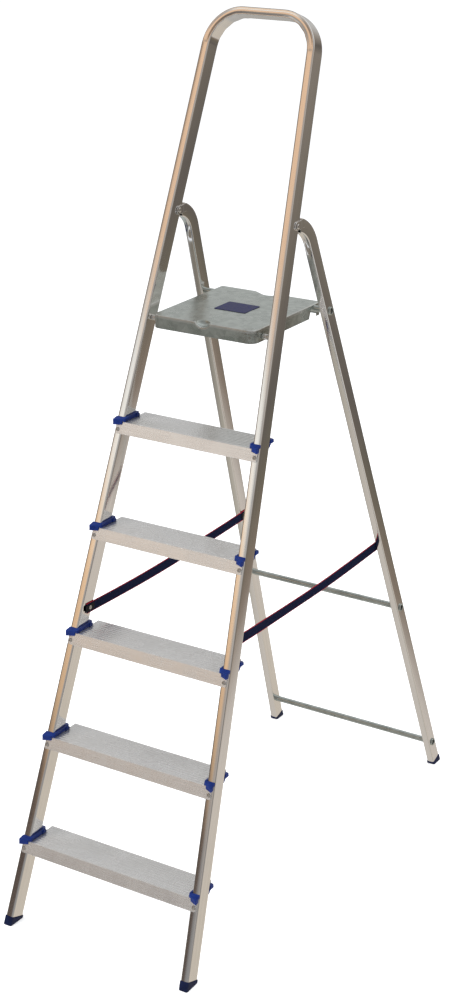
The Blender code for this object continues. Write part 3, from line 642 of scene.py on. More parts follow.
# ---- Treads ----
@dataclass
class Tread:
    """One ribbed tread: a slanted fascia with rounded ends, a ribbed plate and a rear flange."""

    index: int
    plate: float = 0.0020
    depth: float = 0.085
    rise: float = 0.230
    first: float = 0.190
    above_rivet: float = 0.018
    below_rivet: float = 0.009
    end_gap: float = 0.0045
    stile_gap: float = 0.0010
    flange: float = 0.014
    rib: float = 0.0007
    ribs: int = 9
    land: float = 0.0045
    skin_gap: float = 0.0006
    edge: float = 0.0016
    # Strength of the painted shade in the hollows between the ribs.
    painted_groove_shade: float = 0.04
    own_grid: float = 1.0

    @property
    def top(self) -> float:
        """Height of the walking face."""
        return self.first + self.index * self.rise

    @property
    def rivet_height(self) -> float:
        """Height of the rivets in the fascia."""
        return self.top - self.above_rivet

    def fascia(self) -> Skin:
        """The front strip, along the stiles' front faces, with its ends rounded into tabs.

        Half height near an end = radius short of it by the circle: radius - sqrt(radius^2 - gap^2).
        """
        reach = SITE.outer_x(self.rivet_height) - self.end_gap
        cos, sin = math.cos(SITE.tilt), math.sin(SITE.tilt)
        front = SITE.front_y(self.rivet_height)
        axes = Axes(
            np.array([0, front, self.rivet_height]),
            np.array([0.0, sin, cos]),
            np.array([0.0, -cos, sin]),
            np.array([1.0, 0, 0]),
        )
        radius = 0.0045
        ends = radius * (1 - np.cos(np.linspace(0, math.pi / 2, 9)))
        stations = np.concatenate([-reach + ends, even_steps(-reach + radius, reach - radius, 0.02)[1:-1]])
        stations = np.concatenate([stations, (reach - ends)[::-1]])
        gap = np.clip(radius - (reach - np.abs(stations)), 0, radius)
        cut = (radius - np.sqrt(radius**2 - gap**2)) * 0.9
        low = -self.below_rivet / cos + cut
        high = (self.above_rivet - self.plate * 0.4) / cos - cut
        spans = np.stack([low, high, 0 * low + self.skin_gap, 0 * low + self.skin_gap + self.plate], axis=-1)
        skin = block(axes.place, stations, spans, 0.0006)
        skin.uv = skin.uv + np.array([self.own_grid, 0.0])
        return skin

    def profile(self) -> Array:
        """Outer face of the plate in (Y, height above the walking face), with smooth ribs.

        Rib height = half the rib times one plus the cosine of the turn, squared off by a power.
        """
        cos = math.cos(SITE.tilt)
        front = SITE.front_y(self.top) - (self.skin_gap + self.plate) / cos
        rear = front + self.depth
        turn = np.linspace(0, math.pi / 2, 6)
        nose = np.stack(
            [front + self.edge * (1 - np.sin(turn)), -self.edge * (1 - np.cos(turn))], axis=-1
        )[::-1]
        span = self.depth - 2 * self.land
        across = np.linspace(0, 1, self.ribs * 12 + 1)[1:-1]
        wave = np.cos(2 * math.pi * self.ribs * across)
        ridge = np.clip(0.62 + 1.8 * wave / 2, 0, 1)
        ribs = np.stack([front + self.land + span * across, -self.rib * (1 - smooth(0, 1, ridge))], axis=-1)
        tail = np.stack([rear - self.edge * (1 - np.sin(turn)), -self.edge * (1 - np.cos(turn))], axis=-1)
        foot = np.array([[rear, -self.flange]])
        return np.concatenate([nose, ribs, tail, foot])

    def plate_skin(self) -> Skin:
        """The walking plate between the stiles, with the rear flange."""
        outer = self.profile()
        inner = outer.copy()
        inner[:, 0] = np.clip(outer[:, 0], outer[0, 0] + self.plate, outer[-1, 0] - self.plate)
        inner[:, 1] = np.where(outer[:, 0] > outer[-1, 0] - self.plate / 2, outer[:, 1], 0)
        inner[:, 1] = np.minimum(inner[:, 1], -self.plate)
        inner[-1] = (outer[-1, 0] - self.plate, outer[-1, 1])
        loop = np.concatenate([outer, inner[::-1]])
        reach = SITE.outer_x(self.top, SITE.stile_run) - SITE.stile_width - self.stile_gap
        share = np.linspace(-1, 1, 25)
        x = share[:, None] * reach + 0 * loop[:, 0]
        y = np.broadcast_to(loop[:, 0], x.shape)
        z = np.broadcast_to(self.top + loop[:, 1], x.shape)
        around = running(loop, closed=True)
        skin = pinched(np.stack([x, y, z], axis=-1), grid_uv(share * reach, around))
        # Painted shade: the hollows between the ribs get a negative weight, which the finish darkens.
        depth = np.clip(-loop[:, 1] / self.rib, 0, 1) * (loop[:, 1] > -1.05 * self.rib)
        inside = (np.arange(len(loop)) < len(outer)) & (np.arange(len(loop)) > 6)
        skin.edge = np.broadcast_to(-self.painted_groove_shade * depth * inside, skin.points.shape[:2])
        return skin

    def build(self, finish: bpy.types.Material) -> None:
        """Builds the tread."""
        number = self.index + 1
        piece = Piece(f"ribbed_tread_{number}", Body.FRONT, "ribbed_aluminium", (f"tread_{number}",))
        piece.build([self.plate_skin(), self.fascia()], finish, 50)


@dataclass
class EndCap:
    """Moulded cap on a tread's end: nose wedge, drooping lip, side strip and tail wedge."""

    tread: Tread
    side: Side
    height: float = 0.0105
    nose: float = 0.0160
    tail: float = 0.0200
    strip: float = 0.0050
    nose_drop: float = 0.0060
    tail_drop: float = 0.0100
    clear: float = 0.0003
    corner: float = 0.0011
    droop: float = 0.32
    inner_inset: float = 0.0008
    outer_overlap: float = 0.0010
    nose_root: float = 0.0030
    nose_round: tuple[float, float] = (0.0006, 0.0026)
    step_share: float = 0.30
    lip_inset: float = 0.006
    lip_root: float = 0.0056
    lip_back: float = 0.0032
    tail_root: float = 0.004
    knob_length: float = 0.010
    hook_half_width: float = 0.0070
    hook_depth: float = 0.014

    def placed(self, points: Array, shear: Array | float) -> Array:
        """Carries (outward, rearward, height over the tread) points into place.

        Rearward distances lean with the stile by the shear, from 0 to 1.
        """
        lift = points[..., 2]
        slope = math.sin(SITE.tilt) * math.cos(SITE.tilt)
        x = points[..., 0] - SITE.lean * (lift - self.height / 2 + points[..., 1] * slope)
        y = SITE.front_y(self.tread.top) + points[..., 1] + shear * lift * SITE.tan_tilt
        return np.stack([self.side.value * x, y, self.tread.top + lift], axis=-1)

    def wedge(self, x: Array, rear: Array, front: Array, low: Array, high: Array, leading: bool) -> Skin:
        """A block along X whose face by the stile slants with it."""

        def place(points: Array) -> Array:
            """Lowers the outer end and leans the face by the stile."""
            near = np.interp(points[..., 2], x, rear if leading else front)
            far = np.interp(points[..., 2], x, front if leading else rear)
            by_stile = 1 - np.clip(
                np.abs(points[..., 0] - near) / np.maximum(np.abs(far - near), 0.0001), 0, 1
            )
            lift = points[..., 1] * np.where(points[..., 1] > 0, 1 - self.droop * (1 - by_stile), 1)
            return self.placed(np.stack([points[..., 2], points[..., 0], lift], axis=-1), by_stile)

        return block(place, x, np.stack([front, rear, low, high], axis=-1), self.corner)

    def skins(self) -> list[Skin]:
        """The cap's six mouldings, which run into each other."""
        outer = SITE.outer_x(self.tread.top + self.height / 2)
        face = outer - SITE.stile_width - self.clear
        inner = face - self.strip
        run = SITE.stile_run
        x = np.linspace(inner + self.inner_inset, outer + self.outer_overlap, 12)
        share = (x - x[0]) / (x[-1] - x[0])
        ones = np.ones_like(x)
        front = -self.nose_root - (self.nose - self.nose_root) * share**0.9
        front[-2:] += self.nose_round
        step = self.height * self.step_share
        upper = self.wedge(x, -self.clear * ones, front, step * ones, self.height * ones, True)
        lip_x = np.linspace(inner + self.lip_inset, outer - 0.0004, 10)
        lip_share = (lip_x - lip_x[0]) / (lip_x[-1] - lip_x[0])
        lip_ones = np.ones_like(lip_x)
        lip_front = -self.lip_root - (self.nose - self.lip_root - 0.0010) * lip_share
        lip = self.wedge(
            lip_x, -self.lip_back * lip_ones, lip_front, -self.nose_drop * lip_ones,
            self.height * 0.5 * lip_ones, True,
        )
        tail_share = np.sin(math.pi * np.clip(share, 0, 1)) ** 0.35
        tail_rear = run + self.tail_root + (self.tail - self.tail_root) * (
            0.35 + 0.65 * smooth(0.0, 0.35, share)
        ) * (0.75 + 0.25 * tail_share)
        tail = self.wedge(
            x, tail_rear, (run + self.clear) * ones, self.clear * ones, self.height * ones, False
        )
        stations = even_steps(-0.0036, run + 0.006, 0.004)
        flat = np.ones_like(stations)

        def along(points: Array) -> Array:
            """Lays the strip along the stile's inner face, with a groove in its side."""
            moved = np.stack([points[..., 0], points[..., 2], points[..., 1]], axis=-1)
            groove = bump(0, 0.0016, points[..., 1] - self.height * 0.62) * (points[..., 0] < face - 0.002)
            moved[..., 0] += 0.0008 * groove
            return self.placed(moved, 1.0)

        spans = np.stack([inner * flat, face * flat, self.clear * flat, self.height * flat], axis=-1)
        strip = block(along, stations, spans, self.corner, 10)
        knob_x = np.linspace(inner - 0.0016, inner + 0.004, 6)
        knob_ones = np.ones_like(knob_x)
        knob = self.wedge(
            knob_x, (run + self.knob_length) * knob_ones, (run - 0.004) * knob_ones, self.clear * knob_ones,
            (self.height - 0.0004) * knob_ones, False,
        )
        drop_z = np.linspace(-self.tail_drop, self.height * 0.7, 9)
        fall = (drop_z - drop_z[0]) / (drop_z[-1] - drop_z[0])
        middle = outer - SITE.stile_width / 2

        def hanging(points: Array) -> Array:
            """Hangs the hook behind the stile, half leaning with it."""
            return self.placed(points, 0.6)

        half = self.hook_half_width * np.ones_like(fall)
        spans = np.stack(
            [
                middle - half, middle + half, 0 * fall + run + self.clear + 0.0006,
                run + 0.0036 + self.hook_depth * fall**0.8
            ],
            axis=-1,
        )
        hook = block(hanging, drop_z, spans, self.corner)
        return [upper, lip, tail, strip, knob, hook]

    def build(self, finish: bpy.types.Material) -> None:
        """Builds the cap."""
        node = f"tread_cap_{self.tread.index + 1}_{self.side.label}"
        name = f"moulded_cap_{self.tread.index + 1}_{self.side.label}"
        Piece(name, Body.FRONT, "blue_plastic", (node,)).build(self.skins(), finish, 50)


# ---- Feet ----
@dataclass
class Foot:
    """A wedge moulding on a tube's lower end, cut level with the floor."""

    name: str
    node: str
    body: Body
    axes: Axes
    width: float
    depth: float
    lip: float = 0.0015
    round: float = 0.0016
    corner: float = 0.0042
    gap: float = 0.0003

    def skin(self) -> Skin:
        """Rings from the bottom face to the top: level at the floor, and square to the tube above.

        Each column runs down the tube's own direction to where its height is nought.
        """
        turns = np.linspace(0, math.pi / 2, 5)
        size = (self.width + 2 * self.lip, self.depth + 2 * self.lip)
        section = rounded_section(*size, self.corner, 6, 6)
        inset, above = self.round * (1 - np.sin(turns)), self.round * (1 - np.cos(turns))
        share = np.linspace(1, 0, 12)[1:-1]
        plain = np.zeros_like(share)
        insets = np.concatenate([inset, plain, inset[::-1]])[:, None, None]
        offsets = np.concatenate([above, plain + self.round, above[::-1]])[:, None]
        low = np.concatenate([inset * 0 + 1, share, inset * 0])[:, None]
        rings = section * (1 - 2 * insets / np.array(size))
        flat = self.axes.origin + rings @ np.stack([self.axes.first, self.axes.second])
        down = -self.axes.third
        length = flat[..., 2] / -down[2]
        travel = low * (length - offsets) + (1 - low) * (self.gap + offsets)
        points = flat + down * travel[..., None]
        uv = grid_uv(running(points[:, 0]), running(section, closed=True))
        edge = np.broadcast_to(corner_weight(section, size), points.shape[:2])
        return with_poles(Skin(points, uv, edge=edge))

    def build(self, finish: bpy.types.Material) -> None:
        """Builds the foot."""
        Piece(self.name, self.body, "navy_foot_plastic", (self.node,)).build([self.skin()], finish, 50)


# ---- Rear frame ----
@dataclass
class RearLeg:
    """A straight tube with a swan-neck bend into the pivot, slotted over the stile, with ears."""

    side: Side
    wall: float = 0.0014
    corner: float = 0.0030
    radius: float = 0.075
    least: float = 0.007
    edge_gap: float = 0.0123
    ear_thickness: float = 0.002
    ear_gap: float = 0.0108
    ear_radius: float = 0.0095
    ear_length: float = 0.034
    crown: float = 0.00026
    dent_depth: float = 0.0062
    dent_length: float = 0.040
    dent_width: float = 0.0056

    def measures(self) -> tuple[float, float, Array]:
        """Length of the straight part, sweep of the bend and the bend's centre."""
        offset, tilt = SITE.leg_offset, SITE.leg_tilt
        down, back = self.directions()
        along = math.sqrt(2 * self.radius * offset - offset**2)
        sweep = math.atan2(along, self.radius - offset)
        drop = SITE.pivot[2] * math.hypot(1, SITE.leg_lean)
        least = self.least + SITE.leg_depth * math.sin(tilt) / 2
        reach = (drop - least + offset * math.sin(tilt)) / math.cos(tilt)
        return reach - along, sweep, (offset - self.radius) * back + along * down

    @staticmethod
    def directions() -> tuple[Array, Array]:
        """Down and rearward directions of the straight leg in its own plane."""
        sin, cos = math.sin(SITE.leg_tilt), math.cos(SITE.leg_tilt)
        return np.array([sin, -cos]), np.array([cos, sin])

    def at(self, travel: Array, inward: Array) -> Array:
        """Points of the leg's plane by travel from the foot and distance to the front.

        Straight: start + travel * up - inward * back. Bend: centre + (radius - inward) * (cos turn
        * back - sin turn * down), with the turn growing with the travel.
        """
        length, sweep, center = self.measures()
        down, back = self.directions()
        start = SITE.leg_offset * back + (length + math.sqrt(
            2 * self.radius * SITE.leg_offset - SITE.leg_offset**2)) * down
        turn = np.clip((travel - length) / self.radius, 0, None)[..., None]
        line = start - np.minimum(travel, length)[..., None] * down - inward[..., None] * back
        arc = center + (self.radius - inward)[..., None] * (np.cos(turn) * back - np.sin(turn) * down)
        return np.where(turn > 0, arc, line)

    def beyond(self, points: Array) -> Array:
        """How far points are clear of the stile, opened and folded; below nought is inside the slot."""
        clear = []
        for swing in (0.0, SITE.tilt + SITE.leg_tilt):
            turn = swing - SITE.tilt
            axis = np.array([math.cos(turn), math.sin(turn)])
            clear.append(points @ axis - self.edge_gap)
        return np.minimum(*clear)

    def tube(self) -> Skin:
        """The tube, each column of it running up to where it meets the slot."""
        length, sweep, _ = self.measures()
        rows = np.concatenate(
            [even_steps(0, length - 0.05, 0.03), even_steps(length - 0.05, length + 0.02, 0.0016)[1:]]
        )
        share = np.linspace(0, 1, 42)[1:] ** 0.9
        skins = []
        for inset in (0.0, self.wall):
            size = (SITE.leg_depth - 2 * inset, SITE.leg_width - 2 * inset)
            section = crowned(
                rounded_section(*size, max(self.corner - inset, 0.0008), 5, 14), size, self.crown
            )
            tries = np.linspace(length + 0.02, length + self.radius * sweep, 240)
            clear = self.beyond(
                self.at(tries[:, None] + 0 * section[:, 0], 0 * tries[:, None] + section[:, 0])
            )
            last = np.argmax(clear < 0, axis=0)
            last = np.where((clear < 0).any(axis=0), last, len(tries) - 1)
            ends = tries[last]
            travel = np.concatenate(
                [rows[:, None] + 0 * ends, length + 0.02 + share[:, None] * (ends - length - 0.02)]
            )
            first = np.broadcast_to(section[:, 0], travel.shape)
            second = np.broadcast_to(section[:, 1], travel.shape)
            middle = length + self.radius * sweep * 0.22
            front = smooth(0.7, 0.98, section[:, 0] / (size[0] / 2))
            groove = np.exp(-(((travel - middle) / self.dent_length) ** 4))
            groove = groove * np.exp(-((second / self.dent_width) ** 4)) * front
            rim = np.exp(-(((travel - middle) / (self.dent_length * 1.12)) ** 4)) * front
            rim = rim * np.exp(-(((np.abs(second) - self.dent_width * 1.35) / 0.0014) ** 2))
            flatten = smooth(length, length + 0.015, travel) * 0.0009
            inward = first - self.dent_depth * groove + 0.0005 * rim + flatten * np.clip(
                -first / size[0], 0, 1
            )
            plane = self.at(travel, inward)
            skins.append(leg_axes(self.side).place(np.concatenate([plane, second[..., None]], axis=-1)))
        section = rounded_section(SITE.leg_depth, SITE.leg_width, self.corner, 5, 14)
        skin = walled(skins[0], skins[1], section)
        weight = corner_weight(section, (SITE.leg_depth, SITE.leg_width))
        skin.edge = np.broadcast_to(weight, skin.points.shape[:2])
        return skin

    def ears(self) -> list[Skin]:
        """Plates beside the slot, running on to a round end about the pivot."""
        _, sweep, _ = self.measures()
        turn = SITE.leg_tilt + sweep - math.pi / 2
        axes = leg_axes(self.side)
        first = math.cos(turn) * axes.first + math.sin(turn) * axes.second
        second = -math.sin(turn) * axes.first + math.cos(turn) * axes.second
        plate = Axes(axes.origin, second, axes.third, first)
        round_end = self.ear_radius * np.sin(np.linspace(-math.pi / 2, 0, 12))
        stations = np.concatenate([round_end, even_steps(0, self.ear_length, 0.006)[1:]])
        half = np.where(
            stations < 0, np.sqrt(np.clip(self.ear_radius**2 - stations**2, 0, None)), self.ear_radius
        )
        half = np.maximum(half, 0.0012)
        skins = []
        for face in (-1, 1):
            low, high = sorted((face * self.ear_gap, face * (self.ear_gap + self.ear_thickness)))
            root = smooth(0.010, 0.028, stations) * (
                self.ear_gap + self.ear_thickness - SITE.leg_width / 2 - 0.0002
            )
            spans = np.stack([-half, half, low - face * root, high - face * root], axis=-1)
            skins.append(block(plate.place, stations, spans, 0.0006))
        return skins

    def build(self, finish: bpy.types.Material) -> None:
        """Builds the leg."""
        node = f"rear_leg_{self.side.label}"
        piece = Piece(f"leg_tube_{self.side.label}", Body.REAR, "mill_aluminium", (node,))
        piece.build([self.tube(), *self.ears()], finish)


@dataclass
class CrossBar:
    """A round tube across the legs, with both ends rolled over outside them."""

    name: str
    node: str
    height: float
    bar_radius: float = 0.0075
    wall: float = 0.0012
    flare: float = 0.0022
    stand: float = 0.0035

    def skin(self) -> Skin:
        """Outer profile with a half-round rolled lip at each end, and the bore back again."""
        half = SITE.leg_x(self.height) + SITE.leg_width / 2
        turn = np.linspace(math.pi, -math.pi / 3, 12)
        bead = self.stand / 2
        lip_radius = self.bar_radius + self.flare - bead
        lip = np.stack([half + bead + bead * np.cos(turn), lip_radius + bead * np.sin(turn)], axis=-1)
        neck = np.array([[half - self.flare, self.bar_radius], [half - self.wall / 4, self.bar_radius]])
        bore_radius = self.bar_radius - self.wall
        bore = np.array([[half + bead / 2, bore_radius], [half - self.stand, bore_radius]])
        right = np.concatenate([neck, lip, bore])
        left = right[::-1] * [-1, 1]
        profile = np.concatenate([right, left])
        center = np.array([0, SITE.leg_y(self.height), self.height])
        skin = turned_skin(profile, center, np.array([1.0, 0, 0]), 40)
        # The bore rows get a weight of minus one: painted shade inside the tube, which the finish darkens to
        # near black.
        inside = (profile[:, 1] < bore_radius * 1.01) * -1.0
        skin.edge = np.broadcast_to(inside[:, None], skin.points.shape[:2])
        return skin

    def build(self, finish: bpy.types.Material) -> None:
        """Builds the bar."""
        Piece(self.name, Body.REAR, "galvanised_steel", (self.node,)).build([self.skin()], finish)


# ---- Platform ----
@dataclass
class Platform:
    """Pressed sheet tray with a rolled edge, finger scoop, hand notch and slots for the rod."""

    height: float = 1.350
    width: float = 0.266
    sheet: float = 0.0014
    flange: float = 0.030
    ahead: float = 0.037
    behind: float = 0.031
    roll: float = 0.0030
    front_corner: float = 0.020
    rear_corner: float = 0.009
    notch_width: float = 0.092
    notch_depth: float = 0.019
    scoop_radius: float = 0.0185
    scoop_depth: float = 0.0105
    scoop_rim: float = 0.0004
    rod_radius: float = 0.0075
    rod_gap: float = 0.003
    rod_relief: float = 0.026
    columns: int = 420
    buckle: float = 0.00022
    label_start: float = 0.112
    label_length: float = 0.067
    label_width: float = 0.082
    label_film: float = 0.0006
    label_corner: float = 0.0025
    label_gap: float = 0.0003

    @property
    def front(self) -> float:
        """Y of the front flange's face."""
        return SITE.pin[1] - self.ahead

    @property
    def rod_height(self) -> float:
        """Height of the rod's centre."""
        return self.height - self.sheet - 0.0003 - self.rod_radius

    @property
    def rod_y(self) -> float:
        """Y of the rod's centre."""
        return SITE.leg_y(self.rod_height)

    @property
    def rear(self) -> float:
        """Y of the rear flange's face."""
        return self.rod_y + self.behind

    def outline(self) -> tuple[Array, Array]:
        """Plan of the tray and its outward directions, with more points where it is detailed.

        The notch is a cosine dip: depth * (1 + cos(pi * share)) / 2 over the notch's width.
        """
        half = self.width / 2

        def arc(x: float, y: float, radius: float, start: float) -> Array:
            """A quarter of a circle, from an angle in degrees."""
            turns = np.radians(np.linspace(start, start + 90, 24))
            return np.stack([x + radius * np.cos(turns), y + radius * np.sin(turns)], axis=-1)

        big, small = self.front_corner, self.rear_corner
        across = np.linspace(half - small, small - half, 200)[1:-1]
        share = np.clip(across / (self.notch_width / 2), -1, 1)
        dip = self.notch_depth * (1 + np.cos(math.pi * share)) / 2
        back = np.stack([across, self.rear - dip], axis=-1)
        ahead = np.linspace(big - half, half - big, 160)[1:-1]
        edge = np.stack([ahead, 0 * ahead + self.front], axis=-1)
        line = np.concatenate([
            arc(half - big, self.front + big, big, -90), arc(half - small, self.rear - small, small, 0), back,
            arc(
                small - half, self.rear - small, small, 90
            ), arc(big - half, self.front + big, big, 180), edge,
        ])
        loop = np.concatenate([line, line[:1]])
        distance = running(loop)
        fine = np.linspace(0, distance[-1], 6001)
        x, y = (np.interp(fine, distance, loop[:, axis]) for axis in (0, 1))
        front_detail = bump(0, self.scoop_radius * 1.3, x) * (y < self.front + self.roll)
        slot_detail = bump(self.rod_y, self.rod_relief, y) * (np.abs(x) > half - self.sheet)
        corners = smooth(half - 1.5 * big, half - big, np.abs(x)) * (
            1 - smooth(0.002, 0.012, np.abs(x) - half + big)
        )
        density = 1 + 6 * front_detail + 5 * slot_detail + 1.5 * corners
        summed = np.concatenate([[0], np.cumsum((density[1:] + density[:-1]) / 2)])
        wanted = np.linspace(0, summed[-1], self.columns + 1)[:-1]
        points = np.stack([np.interp(wanted, summed, x), np.interp(wanted, summed, y)], axis=-1)
        along = np.roll(points, -1, axis=0) - np.roll(points, 1, axis=0)
        along /= np.linalg.norm(along, axis=1)[:, None]
        return points, np.stack([along[:, 1], -along[:, 0]], axis=-1)

    def lower_edge(self, plan: Array) -> Array:
        """Height of the flange's lower edge: raised to the slots where the rod goes in."""
        low = self.height - self.flange
        closed = self.rod_height + self.rod_radius + 0.0002
        rear = self.rod_y + self.rod_radius + self.rod_gap
        top_front = self.rod_y - self.rod_radius - self.rod_gap
        places = [self.rod_y - self.rod_relief * 0.85, top_front, rear, rear + 0.0006]
        slot = np.interp(plan[..., 1], places, [low, closed, closed, low])
        return np.where(np.abs(plan[..., 0]) > self.width / 2 - self.rear_corner / 2, slot, low)

    def skin(self) -> Skin:
        """Rings from the middle of the top, over the rolled edge, down the flange and back inside.

        Scoop depth = depth * (1 - share^2)^0.6 with the share of its radius from the front edge.
        """
        plan, out = self.outline()
        middle = np.array([0, (self.front + self.rear) / 2])
        turns = np.linspace(0, math.pi / 2, 7)
        near = 1 - np.concatenate([np.linspace(0, 0.15, 24), np.linspace(0.15, 0.97, 26)[1:]])[::-1]
        rows, heights = [], []

        def ring(inset: float, height: Array | float, share: float = 1.0) -> None:
            """Adds one row: the plan moved in, at a height, drawn towards the middle by a share."""
            rows.append(middle + (plan - out * inset - middle) * share)
            heights.append(np.broadcast_to(height, len(plan)))

        low = self.lower_edge(plan)
        for share in near:
            ring(self.roll, self.height, share)
        for turn in turns[1:]:
            ring(self.roll * (1 - math.sin(turn)), self.height - self.roll * (1 - math.cos(turn)))
        start = self.height - self.roll
        for share in np.linspace(0, 1, 12)[1:]:
            ring(0, start + (low - start) * share)
        for share in np.linspace(1, 0, 12):
            ring(self.sheet, start + (low - start) * share)
        inner = self.roll - self.sheet
        for turn in turns[::-1][1:]:
            ring(self.sheet + inner * (1 - math.sin(turn)), start + inner * math.cos(turn))
        for share in near[::-1][1:]:
            ring(self.roll, self.height - self.sheet, share)
        flat, z = np.stack(rows), np.stack(heights)
        z = np.maximum(z, low)
        offset = flat - [0, self.front]
        share = np.linalg.norm(offset, axis=-1) / self.scoop_radius
        dip = self.scoop_depth * np.clip(1 - share**2, 0, 1) ** 0.6 - self.scoop_rim * bump(1.05, 0.06, share)
        hold = np.clip((z - (self.height - self.flange)) / (self.flange - self.roll), 0, 1)
        waves = np.sin(flat[..., 0] * 61 + 3 * np.sin(flat[..., 1] * 23)) * np.sin(flat[..., 1] * 37 + 1)
        calm = smooth(
            0, 0.03, self.width / 2 - np.abs(flat[..., 0])
        ) * smooth(0, 0.03, flat[..., 1] - self.front)
        z = z - dip * hold + self.buckle * waves * calm * (z > self.height - 2 * self.sheet)
        points = np.concatenate([flat, z[..., None]], axis=-1)
        uv = np.concatenate([flat, flat[:, :1]], axis=1)
        uv = uv + np.concatenate([out, out[:1]]) * (
            self.height - np.concatenate([z, z[:, :1]], axis=1)
        )[..., None]
        edge = np.zeros(z.shape)
        # The rolled edge gets the full edge weight, so it is painted paler: partly rubbed zinc, partly a
        # painted highlight on the roll.
        edge[len(near) : len(near) + len(turns)] = 1
        return with_poles(Skin(points, uv, edge=edge))

    def label(self) -> Skin:
        """The plain film on the top: a thin sheet with round corners."""
        start, width, corner = self.front + self.label_start, self.label_width, self.label_corner
        x = even_steps(-width / 2, width / 2, 0.004)
        ones = np.ones_like(x)
        gap = np.clip(corner - (width / 2 - np.abs(x)), 0, corner)
        cut = (corner - np.sqrt(corner**2 - gap**2)) * 0.7
        rest = self.height + self.label_gap

        def lay(points: Array) -> Array:
            """Lays the film on the tray."""
            return np.stack([points[..., 2], points[..., 0], rest + points[..., 1]], axis=-1)

        spans = np.stack(
            [start + cut, start + self.label_length - cut, 0 * ones, self.label_film * ones], axis=-1
        )
        skin = block(lay, x, spans, 0.00025, 2)
        plan = skin.points[..., :2]
        skin.uv = np.concatenate([plan, plan[:, :1]], axis=1)
        return skin

    def build(self, finish: bpy.types.Material, film: bpy.types.Material) -> None:
        """Builds the tray and its film."""
        tray = Piece("platform_tray", Body.PLATFORM, "galvanised_steel", ("platform",))
        tray.build([self.skin()], finish, 60)
        Piece("platform_film", Body.PLATFORM, "label_blue", ("label_plate",)).build([self.label()], film)


# ---- Straps ----
@dataclass
class Strap:
    """Webbing from a stile's inner face to a leg's, with a tab and a rivet at each end."""

    side: Side
    height: float = 0.697
    width: float = 0.025
    thickness: float = 0.0014
    sag: float = 0.007
    stand_off: float = 0.0011
    front_inset: float = 0.014
    rear_inset: float = 0.012
    end: float = 0.012
    ribs: int = 7
    rib: float = 0.00012
    tab_length: float = 0.032
    tab_width: float = 0.015
    tab_thickness: float = 0.0010
    tab_corner: float = 0.0030
    seat_gap: float = 0.0003

    def anchors(self) -> tuple[Array, Array]:
        """The tubes' inner faces where the two rivets go in."""
        front_edge = SITE.front_y(self.height) + SITE.stile_run - self.front_inset
        front_x = SITE.outer_x(self.height, front_edge - SITE.front_y(self.height)) - SITE.stile_width
        rear_edge = SITE.leg_y(self.height) - SITE.leg_depth / 2 / math.cos(SITE.leg_tilt) + self.rear_inset
        rear_x = SITE.leg_x(self.height) - SITE.leg_width / 2
        sign = self.side.value
        return (
            np.array([sign * front_x, front_edge, self.height]),
            np.array([sign * rear_x, rear_edge, self.height]),
        )

    def webbing(self) -> Skin:
        """The band: drop = 4 * sag * share * (1 - share), with a slow twist and low ribs."""
        front, rear = self.anchors()
        span = rear[1] - front[1]
        stations = even_steps(-self.end, span + self.end, 0.004)
        ones = np.ones_like(stations)

        def hang(points: Array) -> Array:
            """Hangs the band between its rivets."""
            share = np.clip(points[..., 2] / span, 0, 1)
            drop = 4 * self.sag * share * (1 - share)
            face = abs(front[0]) + (abs(rear[0]) - abs(front[0])) * share
            wave = 0.0012 * np.sin(math.pi * share) ** 2 * np.sin(7 * share + points[..., 0] * 60)
            ribs = self.rib * np.cos(2 * math.pi * self.ribs * points[..., 0] / self.width)
            middle = face - self.stand_off - self.thickness / 2 - wave
            x = middle + points[..., 1] + ribs * np.sign(points[..., 1])
            return np.stack(
                [self.side.value * x, front[1] + points[..., 2], self.height + points[..., 0] - drop], axis=-1
            )

        half, thin = self.width / 2, self.thickness / 2
        skin = block(
            hang, stations, np.stack([-half * ones, half * ones, -thin * ones, thin * ones], axis=-1), 0.0005,
            28
        )
        along = skin.points[..., 1] - front[1]
        share = np.clip(along / span, 0, 1)
        across = skin.points[..., 2] - self.height + 4 * self.sag * share * (1 - share)
        uv = np.stack([across, along], axis=-1)
        skin.uv = np.concatenate([uv, uv[:, :1]], axis=1)
        return skin

    def tab(self, anchor: Array) -> Skin:
        """A small plate over the webbing's end, its long side up the tube."""
        back = abs(anchor[0]) - self.stand_off - self.thickness - self.seat_gap
        z = even_steps(-self.tab_length / 2, self.tab_length / 2, 0.001)
        ones = np.ones_like(z)
        corner = self.tab_corner
        gap = np.clip(corner - (self.tab_length / 2 - np.abs(z)), 0, corner)
        half = self.tab_width / 2 - (corner - np.sqrt(corner**2 - gap**2))

        def stand(points: Array) -> Array:
            """Stands the plate against the tube."""
            x, y, z = self.side.value * points[
                ..., 1
            ], anchor[1] + points[..., 2], self.height + points[..., 0]
            return np.stack([x, y, z], axis=-1)

        wide = np.stack([-half, half, (back - self.tab_thickness) * ones, back * ones], axis=-1)
        return block(stand, z, wide, 0.0004, 2)

    def build(self, webbing: bpy.types.Material, tab: bpy.types.Material, steel: bpy.types.Material) -> None:
        """Builds the webbing, its tabs and its rivets."""
        front, rear = self.anchors()
        label = self.side.label
        band = bpy.data.objects.new(f"webbing_{label}", mesh_of(f"webbing_{label}", [self.webbing()], 60))
        band.data.materials.append(webbing)
        bpy.context.scene.collection.objects.link(band)
        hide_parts(f"strap_{label}")
        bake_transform(band)
        LOG.info("webbing_%s: %d faces, bends from front to rear", label, len(band.data.polygons))
        for word, body, anchor in (("front", Body.FRONT, front), ("rear", Body.REAR, rear)):
            node = f"{word}_{label}"
            piece = Piece(f"stitched_tab_{node}", body, "black_tab", (f"strap_tab_{node}",))
            piece.build([self.tab(anchor)], tab)
            head = abs(anchor[0]) - self.stand_off - self.thickness - 2 * self.seat_gap - self.tab_thickness
            seat = np.array([self.side.value * head, anchor[1], self.height])
            inward_axis = np.array([-float(self.side.value), 0, 0])
            rivet = turned_skin(rivet_profile(0.0045), seat, inward_axis, 36)
            Piece(f"tab_rivet_{node}", body, "rivet_steel", (f"strap_rivet_{node}",)).build([rivet], steel)


